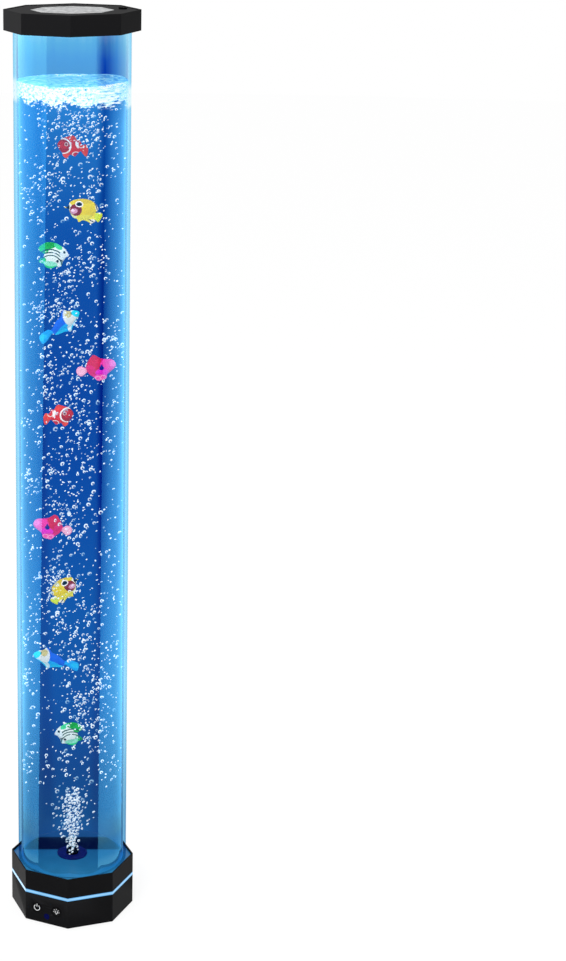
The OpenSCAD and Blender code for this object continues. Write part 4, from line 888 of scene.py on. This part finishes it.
def painted_pvc(kind):
    """Moulded soft PVC with this kind's paint: one mask for each mark, from its place on the drawing."""
    ground, marks = MARKS[kind]
    made, tree = new_material("painted_pvc_" + kind)
    drawing = add(tree, "Attribute", attribute_name="drawing").outputs["Vector"]
    smear = add(tree, "TexNoise", drawing, Scale=0.18, Detail=3.0)
    wobble = add(tree, "VectorMath", drawing, smear.outputs["Color"], operation="ADD")
    spots = add(tree, "VectorMath", wobble, (0.5, 0.5, 0.5), operation="SUBTRACT")
    colour = deep_paint(ground)
    for (x, z, half_x, half_z, turn), hue, *ring_width in marks:
        oval = add(tree, "Mapping", spots, Location=(x, 0, z), Rotation=(0, -math.radians(turn), 0),
                   Scale=(half_x, 1000, half_z), vector_type="TEXTURE")
        out = add(tree, "VectorMath", oval, operation="LENGTH")
        soft_edge = 0.35 / min(half_x, half_z)
        if not ring_width:
            mask = add(tree, "MapRange", out, 1 - soft_edge, 1 + soft_edge, 1.0, 0.0)
        else:
            width = ring_width[0]
            off = add(tree, "Math", out, 1.0, operation="SUBTRACT")
            off = add(tree, "Math", off, operation="ABSOLUTE")
            mask = add(tree, "MapRange", off, width * 0.6, width * 1.2, 1.0, 0.0)
        colour = add(tree, "Mix", mask, colour, deep_paint(hue), data_type="RGBA")
    rays_of_fin = add(tree, "TexNoise", drawing, Scale=0.9, Detail=2.0)
    bump = add(tree, "Bump", Height=rays_of_fin, Distance=0.25 * MM, Strength=0.5)
    skin = add(tree, "BsdfPrincipled", Base_Color=colour, Roughness=0.38, Specular_IOR_Level=0.3,
               Normal=bump)
    add(tree, "OutputMaterial", skin)
    return made


PAINTED = {kind: painted_pvc(kind) for kind in KINDS}
print({kind: len(marks) for kind, (_, marks) in MARKS.items()}, "painted marks")

# %% [markdown]
# Every fish then goes to its own lane: an upright plane that faces the camera, where it can float up and
# down past the others. A fish that looks right is the mirrored one.

# %% Put the fish in their lanes
LANE, MIDDLE_LANE = 10, 4.5


def lane_y(lane):
    """How far behind the axis a lane's plane is, in mm. Lane 0 is at the back."""
    return -(lane - MIDDLE_LANE) * LANE


def place_fish(name, facts):
    """Builds one fish and puts it where the CAD model's fish is."""
    kind, facing, lift, across, high, lane = facts
    flat, thick, triangles, scale = SHAPES[kind]
    near = np.column_stack([flat[:, 0], -thick, flat[:, 1]])
    far = near * (1, -1, 1)
    count = len(flat)
    faces = [tuple(t) for t in triangles] + [tuple(i + count for i in t[::-1]) for t in triangles]
    edges_used = {}
    for a, b, c in triangles:
        for pair in ((a, b), (b, c), (c, a)):
            edges_used[pair] = edges_used.get(pair[::-1], 0) + 1
    rim_edges = [e for e in edges_used if (e[1], e[0]) not in edges_used]
    faces += [(b, a, a + count, b + count) for a, b in rim_edges]
    points = np.vstack([near, far])
    drawing = points / (scale, 1, scale)
    spot = (across * TUBE_IR * MM, lane_y(lane) * MM, (WATER_FOOT + high * WATER_H) * MM)
    where = (Matrix.Rotation(TURN, 4, "Z")
             @ Matrix.Translation(spot) @ Matrix.Rotation(math.radians(facing * lift), 4, "Y")
             @ Matrix.Scale(facing, 4, (1, 0, 0)) @ Matrix.Scale(MM, 4))
    fish = new_mesh(name + "_body", [where @ Vector(p) for p in points], faces, [PAINTED[kind]], smooth=70)
    store = fish.data.attributes.new("drawing", "FLOAT_VECTOR", "POINT")
    store.data.foreach_set("vector", drawing.astype(np.float32).ravel())
    shell = bmesh.new()
    shell.from_mesh(fish.data)
    bmesh.ops.recalc_face_normals(shell, faces=shell.faces)
    shell.to_mesh(fish.data)
    shell.free()
    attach(fish, name)
    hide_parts(name)


for name, facts in FISH.items():
    place_fish(name, facts)
print(len(FISH), "fish in lanes", LANE, "mm apart")

# %% [markdown]
# ## Bubbles
# A bubble under water mirrors light from its rim and is clear in its middle, so it shows as a pale ring,
# brighter above, or, when it is small, as a bright dot. The CAD model holds the largest bubbles as round
# hollows in its water. They are found there again, so that each shows in its own hollow.

# %% Find the hollows in the water
def hollows(mesh, largest):
    """The middle and radius of every round hollow in a mesh that is smaller than this, in mm."""
    flat = np.empty(len(mesh.vertices) * 3)
    mesh.vertices.foreach_get("co", flat)
    spots, index = np.unique(np.round(flat.reshape(-1, 3) / MM, 3), axis=0, return_inverse=True)
    ends = np.empty(len(mesh.edges) * 2, dtype=int)
    mesh.edges.foreach_get("vertices", ends)
    ends = index.ravel()[ends].reshape(-1, 2)
    island = np.arange(len(spots))
    before = None
    while before is None or (island != before).any():
        before = island.copy()
        low = np.minimum(island[ends[:, 0]], island[ends[:, 1]])
        np.minimum.at(island, ends[:, 0], low)
        np.minimum.at(island, ends[:, 1], low)
        island = island[island]
    order = np.argsort(island, kind="stable")
    starts = np.unique(island[order], return_index=True)[1]
    lows = np.minimum.reduceat(spots[order], starts)
    highs = np.maximum.reduceat(spots[order], starts)
    sizes = highs - lows
    is_round = (np.ptp(sizes, axis=1) < 0.1 * sizes.max(axis=1)) & (sizes.max(axis=1) < largest)
    return np.column_stack([(lows + highs) / 2, sizes.min(axis=1) / 2])[is_round]


air = hollows(frame["nodes"]["water"].data, 8)
cos_turn, sin_turn = math.cos(TURN), math.sin(TURN)
air = np.column_stack([air[:, 0] * cos_turn + air[:, 1] * sin_turn,
                       air[:, 1] * cos_turn - air[:, 0] * sin_turn, air[:, 2], air[:, 3]])
PLUME_FOOT, PLUME_TOP = 86, 178
print(len(air), "hollows, radius", air[:, 3].min().round(2), "to", air[:, 3].max().round(2), "mm")

# %% [markdown]
# One kind of skin serves all bubbles: large ones are open rings, fine ones are filled dots, and crowded
# ones are in between. Only the near half of a skin shows, or each bubble would be drawn twice.

# %% Bubble finish
LIT_FROM = (-0.58 * cos_turn + 0.2 * sin_turn, -0.58 * sin_turn - 0.2 * cos_turn, 0.79)


def bubble_skin(name, open_at, closed_at, middle, dim, shadow):
    """A bubble's skin: clear in its middle, pale and bright towards its rim, brighter above than below."""
    made, tree = new_material(name)
    edge_on = add(tree, "LayerWeight", Blend=0.5).outputs["Facing"]
    rim = add(tree, "MapRange", edge_on, open_at, closed_at, middle, interpolation_type="SMOOTHSTEP")
    normal = add(tree, "NewGeometry")
    lit = add(tree, "VectorMath", normal.outputs["Normal"], LIT_FROM, operation="DOT_PRODUCT")
    side = add(tree, "MapRange", lit, shadow, shadow + 0.5, dim, 1.0)
    second = add(tree, "MapRange", lit, -0.8, -0.95, To_Max=0.7)
    side = add(tree, "Math", side, second, operation="MAXIMUM")
    vary = add(tree, "Attribute", attribute_name="glint").outputs["Fac"]
    strong = add(tree, "Math", side, vary, operation="MULTIPLY", use_clamp=True)
    share = add(tree, "Math", rim, strong, operation="MULTIPLY")
    near = add(tree, "Math", 1.0, normal.outputs["Backfacing"], operation="SUBTRACT")
    share = add(tree, "Math", share, near, operation="MULTIPLY")
    tone = add(tree, "ValToRGB", strong, stops=[(0.1, "#3FA0EC"), (0.4, "#9FDFFF"), (0.65, "#FFFFFF")])
    thin = add(tree, "MapRange", edge_on, 0.3, 0.7, To_Max=0.85)
    tone = add(tree, "Mix", thin, tone, "#5CC4FF", data_type="RGBA")
    glow = add(tree, "Emission", tone, 1.15)
    clear = add(tree, "BsdfTransparent")
    skin = add(tree, "MixShader", share, clear, glow)
    add(tree, "OutputMaterial", skin)
    return made


ring_skin = bubble_skin("air_bubble", 0.06, 0.2, 0.0, 0.16, -0.25)
dot_skin = bubble_skin("small_air_bubble", -0.4, 0.1, 0.6, 0.35, -0.5)
crowd_skin = bubble_skin("crowded_air_bubble", 0.0, 0.3, 0.25, 0.1, -0.3)
print("skins:", ring_skin.name, dot_skin.name, crowd_skin.name)

# %% [markdown]
# The finer bubbles are drawn with a fixed seed, alone and in drifting swarms. A fish passes on its way up
# or down, so none may sit in its way: each fish keeps a list of how thick it is, millimetre by millimetre
# across the tube, and a bubble is only put where every fish clears it.

# %% Where a bubble may go
WAYS = {}
for name, (kind, facing, lift, across, high, lane) in FISH.items():
    flat, thick = SHAPES[kind][0] * (facing, 1), SHAPES[kind][1]
    tilt = math.radians(facing * lift)
    xs = flat[:, 0] * math.cos(tilt) + flat[:, 1] * math.sin(tilt) + across * TUBE_IR
    first = math.floor(xs.min())
    widths = np.zeros(math.ceil(xs.max()) - first + 1)
    np.maximum.at(widths, (xs - first).astype(int), thick)
    WAYS[lane_y(lane)] = (first, widths)
SEEN = [(across * TUBE_IR, lane_y(lane), WATER_FOOT + high * WATER_H,
         KINDS[kind][1] * 0.46, KINDS[kind][1] * 0.33)
        for kind, _, _, across, high, lane in FISH.values()]
GAP = 0.5
taken = np.array([(*spot[:3], spot[3] + GAP) for spot in air])


def clear_of_fish(x, y, r):
    """True if a bubble at x, y (mm, along and across the lanes) clears each fish's way and the wall."""
    if math.hypot(x, y) + r > TUBE_IR - 1:
        return False
    for middle, (first, widths) in WAYS.items():
        near = widths[max(0, math.floor(x - r - first) - 1):max(0, math.ceil(x + r - first) + 2)]
        if len(near) and abs(y - middle) < near.max() + GAP + r:
            return False
    return True


draw = np.random.default_rng(20)


def hides_a_fish(x, y, z):
    """True if a bubble there is right in front of a fish at rest."""
    return any(y < fish_y and math.hypot((x - fish_x) / half_x, (z - fish_z) / half_z) < 1
               for fish_x, fish_y, fish_z, half_x, half_z in SEEN)


def settle(spots, x, z, r, low=-TUBE_IR, high=TUBE_IR):
    """Looks for a free depth for a bubble at x and z, and keeps it there."""
    global taken
    for y in draw.uniform(low, high, 24):
        if clear_of_fish(x, y, r) and not hides_a_fish(x, y, z):
            apart = np.linalg.norm(taken[:, :3] - (x, y, z), axis=1) - taken[:, 3]
            if apart.min() > r:
                taken = np.vstack([taken, (x, y, z, r)])
                spots.append((x, y, z, r))
                return


print(len(WAYS), "ways kept clear by", GAP, "mm")

# %% [markdown]
# Thousands of objects would be slow, so the bubbles of one size are one mesh: a ball that is copied,
# flattened and tilted anew for each bubble. Each copy carries a number for how strongly it glints.

# %% Join bubbles into one mesh
def ball(steps):
    """Points and triangles of a ball with a radius of 1."""
    shape = bmesh.new()
    bmesh.ops.create_icosphere(shape, subdivisions=steps, radius=1)
    points = np.array([v.co[:] for v in shape.verts])
    faces = np.array([[v.index for v in f.verts] for f in shape.faces])
    shape.free()
    return points, faces


def join_bubbles(name, spots, steps, skin, seed, flattest=0.6, roundest=0.97):
    """One mesh of many bubbles. Each spot is x, y, z and radius in mm, in the lanes' directions."""
    turns = np.random.default_rng(seed)
    points, faces = ball(steps)
    all_points, all_faces, glints = [], [], []
    for i, (x, y, z, r) in enumerate(spots):
        squash = np.array([1, 1, turns.uniform(flattest, roundest)]) * r
        tilt = np.array(Matrix.Rotation(turns.normal(-0.5, 0.6), 3, "Y"))
        all_points.append((points * squash) @ tilt.T + (x, y, z))
        all_faces.append(faces + i * len(points))
        glints.append(np.full(len(points), turns.uniform(0.45, 1.5)))
    cloud = np.vstack(all_points) @ np.array(Matrix.Rotation(TURN, 3, "Z")).T * MM
    made = new_mesh(name, cloud.tolist(), np.vstack(all_faces).tolist(), [skin], smooth=180)
    made.data.attributes.new("glint", "FLOAT", "POINT").data.foreach_set("value", np.hstack(glints))
    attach(made, "lamp")
    print(name, len(spots), "bubbles,", len(faces) * len(spots), "faces")
    return made


print("balls of", len(ball(2)[1]), "and", len(ball(3)[1]), "faces")

# %% [markdown]
# Air doesn't rise evenly: some bubbles go up alone, and most in loose swarms. The CAD model's hollows are
# the large ones, and two finer sizes are drawn between them.

# %% Scatter the bubbles
SWARM_COUNT, LOWEST, HIGHEST = 110, 150, 1142
SWARMS = np.column_stack([draw.normal(-2, 43, SWARM_COUNT), draw.uniform(190, 1125, SWARM_COUNT),
                          draw.uniform(7, 24, SWARM_COUNT)])


def scatter(count, sizes, swarm_share):
    """Draws places for bubbles, some of them gathered in swarms."""
    spots = []
    while len(spots) < count:
        r = draw.uniform(*sizes)
        x, z = draw.normal(-2, 47), draw.uniform(165, 1138)
        if draw.random() < swarm_share:
            middle_x, middle_z, spread = SWARMS[draw.integers(len(SWARMS))]
            x, z = draw.normal(middle_x, spread * 0.7), draw.normal(middle_z, spread)
        if LOWEST < z < HIGHEST:
            settle(spots, x, z, r)
    return spots


bubbles = join_bubbles("bubbles_large", air[air[:, 2] > PLUME_TOP], 3, ring_skin, 1, 0.75)
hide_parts("water")
join_bubbles("bubbles_middle", scatter(560, (1.4, 2.8), 0.6), 3, ring_skin, 2)
join_bubbles("bubbles_small", scatter(2300, (0.7, 1.7), 0.7), 2, dot_skin, 3, 0.35, 0.8)

# %% [markdown]
# Right above the nozzle the air is still one rising plume: it leaves the dome in a thin stream, spreads to
# about 40 mm, and breaks into large, crowded bubbles.

# %% The plume over the nozzle
crowd = [tuple(spot) for spot in air if spot[2] <= PLUME_TOP]
bubbles = join_bubbles("bubbles_crowd", crowd, 3, crowd_skin, 5, 0.75)
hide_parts("water")
plume = []
tries = 0
while len(plume) < 300 and tries < 6000:
    tries += 1
    z = PLUME_FOOT + (PLUME_TOP - PLUME_FOOT) * draw.random() ** 0.9
    wide = 4 + 17 * min(1, (z - PLUME_FOOT) / 45) * (1 - 0.35 * max(0, (z - 140) / 40))
    x, r = draw.normal(0, wide * (0.4 if draw.random() < 0.7 else 0.85)), draw.uniform(0.8, 2.3)
    if abs(x) < wide * 1.5:
        settle(plume, x, z, r, -31, 5)
join_bubbles("bubbles_plume", plume, 2, crowd_skin, 4, 0.45, 0.9)

# %% [markdown]
# ## Foam
# Where the bubbles break they pile up as foam against the wall. A thin ragged skin just inside the wall,
# cut by noise into a torn lower edge, gives the band its body, and loose bubbles in front and below give it
# its grain.

# %% Foam on the wall
torn_foam, tree = new_material("torn_foam")
spot = add(tree, "TexCoord").outputs["Object"]
up = add(tree, "SeparateXYZ", spot).outputs["Z"]
FOAM_LOW, FOAM_HIGH = 1120 * MM, 1151 * MM
place = lane_place(tree, spot)
level = add(tree, "Math", place["X"], FOAM_LEAN, up, operation="MULTIPLY_ADD")
height = add(tree, "MapRange", level, FOAM_LOW, FOAM_HIGH)
cover = add(tree, "ValToRGB", height, stops=[(0.0, 0.0), (0.25, 0.28), (0.45, 0.5), (0.8, 0.58), (1.0, 0.42)])
flat_space = add(tree, "Mapping", spot, Scale=(1, 1, 1.5))
clumps = add(tree, "TexNoise", flat_space, Scale=1 / (20 * MM), Detail=3.0)
holes = add(tree, "TexNoise", flat_space, Scale=1 / (4.5 * MM), Detail=3.0, Roughness=0.65)
drawn_out = add(tree, "Mapping", spot, Scale=(0.3, 0.3, 2.2))
streaks = add(tree, "TexNoise", drawn_out, Scale=1 / (5 * MM), Detail=3.0, Roughness=0.6)
torn = add(tree, "MapRange", place["X"], 22 * MM, 42 * MM)
holes = add(tree, "Mix", torn, holes, streaks, data_type="RGBA")
holes = add(tree, "SeparateXYZ", holes)
uneven = add(tree, "Math", holes.outputs["X"], 1.1, clumps, operation="MULTIPLY_ADD")
thick = add(tree, "Math", cover, uneven, operation="ADD")
share = add(tree, "MapRange", thick, 1.3, 1.58, interpolation_type="SMOOTHSTEP")
tone = add(tree, "ValToRGB", holes.outputs["X"], stops=[
    (0.36, "#6FC2F8"), (0.48, "#C4F0FF"), (0.6, "#FFFFFF")])
# The foam also glows a little in its own colour: painted light from the lamps below.
froth = add(tree, "BsdfPrincipled", Base_Color=tone, Roughness=0.6, Emission_Color=tone,
            Emission_Strength=0.3, Alpha=share)
add(tree, "OutputMaterial", froth)
FOAM_R = BORE_R - 0.5 * MM
foam_profile = [(FOAM_R, FOAM_LOW), (FOAM_R, FOAM_HIGH), (FOAM_R - 0.3 * MM, FOAM_HIGH),
                (FOAM_R - 0.3 * MM, FOAM_LOW)]
foam = turned("foam_skin", foam_profile, [torn_foam], [0, 0, 0, 0])
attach(foam, "lamp")

froth_spots = []
while len(froth_spots) < 520:
    turn, z = draw.uniform(0, math.tau), 1150 - abs(draw.normal(0, 11))
    r = draw.uniform(0.6, 2.2)
    out = draw.uniform(60, TUBE_IR - 1.2 - r)
    x, y = out * math.cos(turn), out * math.sin(turn)
    if 1127 < z - r and z + r < FOAM_HIGH / MM:
        froth_spots.append((x, y, z, r))
join_bubbles("foam_bubbles", froth_spots, 2, dot_skin, 6)

# %% [markdown]
# ## Inside the base
# Nothing here shows while the lamp stands, but it does when the cover is off. Each finish follows what the
# part is made of: green or white solder mask, moulded nylon, rubber, nickel, copper wire and zinc-plated
# steel.

# %% Finishes inside
HIDDEN = {"rubber": ("#161616", 0.85, 0.0, 0.8), "steel_screw": ("#8C8F92", 0.35, 1.0, 0.6),
          "switch_plastic": ("#303034", 0.5, 0.0, 0.5), "circuit_board": ("#1F6B3A", 0.35, 0.0, 1.2),
          "white_board": ("#F2F2EE", 0.4, 0.0, 1.2), "chip_resin": ("#F0E0A0", 0.25, 0.0, 0.6),
          "black_resin": ("#18181A", 0.5, 0.0, 0.4), "capacitor_can": ("#24305C", 0.3, 0.3, 0.8),
          "white_nylon": ("#E6E4DC", 0.5, 0.0, 0.5), "nickel": ("#B4B6B8", 0.25, 1.0, 0.8),
          "iron_core": ("#5A5C60", 0.5, 1.0, 0.5), "copper_coil": ("#B56228", 0.35, 0.8, 0.4),
          "magnet": ("#3C3E42", 0.45, 0.6, 0.8), "silicone_hose": ("#D8E4EA", 0.35, 0.0, 1.5),
          "lead_pvc": ("#303034", 0.45, 0.0, 0.8), "black_nylon": ("#0C0C0E", 0.4, 0.0, 0.6),
          "black_abs": ("#151517", 0.46, 0.0, 0.4)}


def hidden_finish(slot, colour, rough, metal, grain_mm):
    """The finish of pieces that the base hides, one for each of the CAD model's materials."""
    return moulded_plastic("inside_" + slot, colour, rough, grain_mm, 0.02, ior=1.5 if metal else 1.53,
                           metal=metal)


inside = {slot: hidden_finish(slot, *facts) for slot, facts in HIDDEN.items()}
dressed = {"base_lower_shell", "base_upper_shell", "bottom_cover", "cap", "cap_plate", "vent_plug",
           "cap_gasket", "light_band", "power_button", "light_button", "receiver_window", "floor_plate",
           "nozzle", "nozzle_seal", "tube", "water"} | set(FISH)
for part in frame["record"]["subparts"]:
    if part["node"] not in dressed:
        dress(inside[part["material_slot"]], part["node"])
print(len(frame["nodes"]) - len(dressed), "hidden nodes dressed")
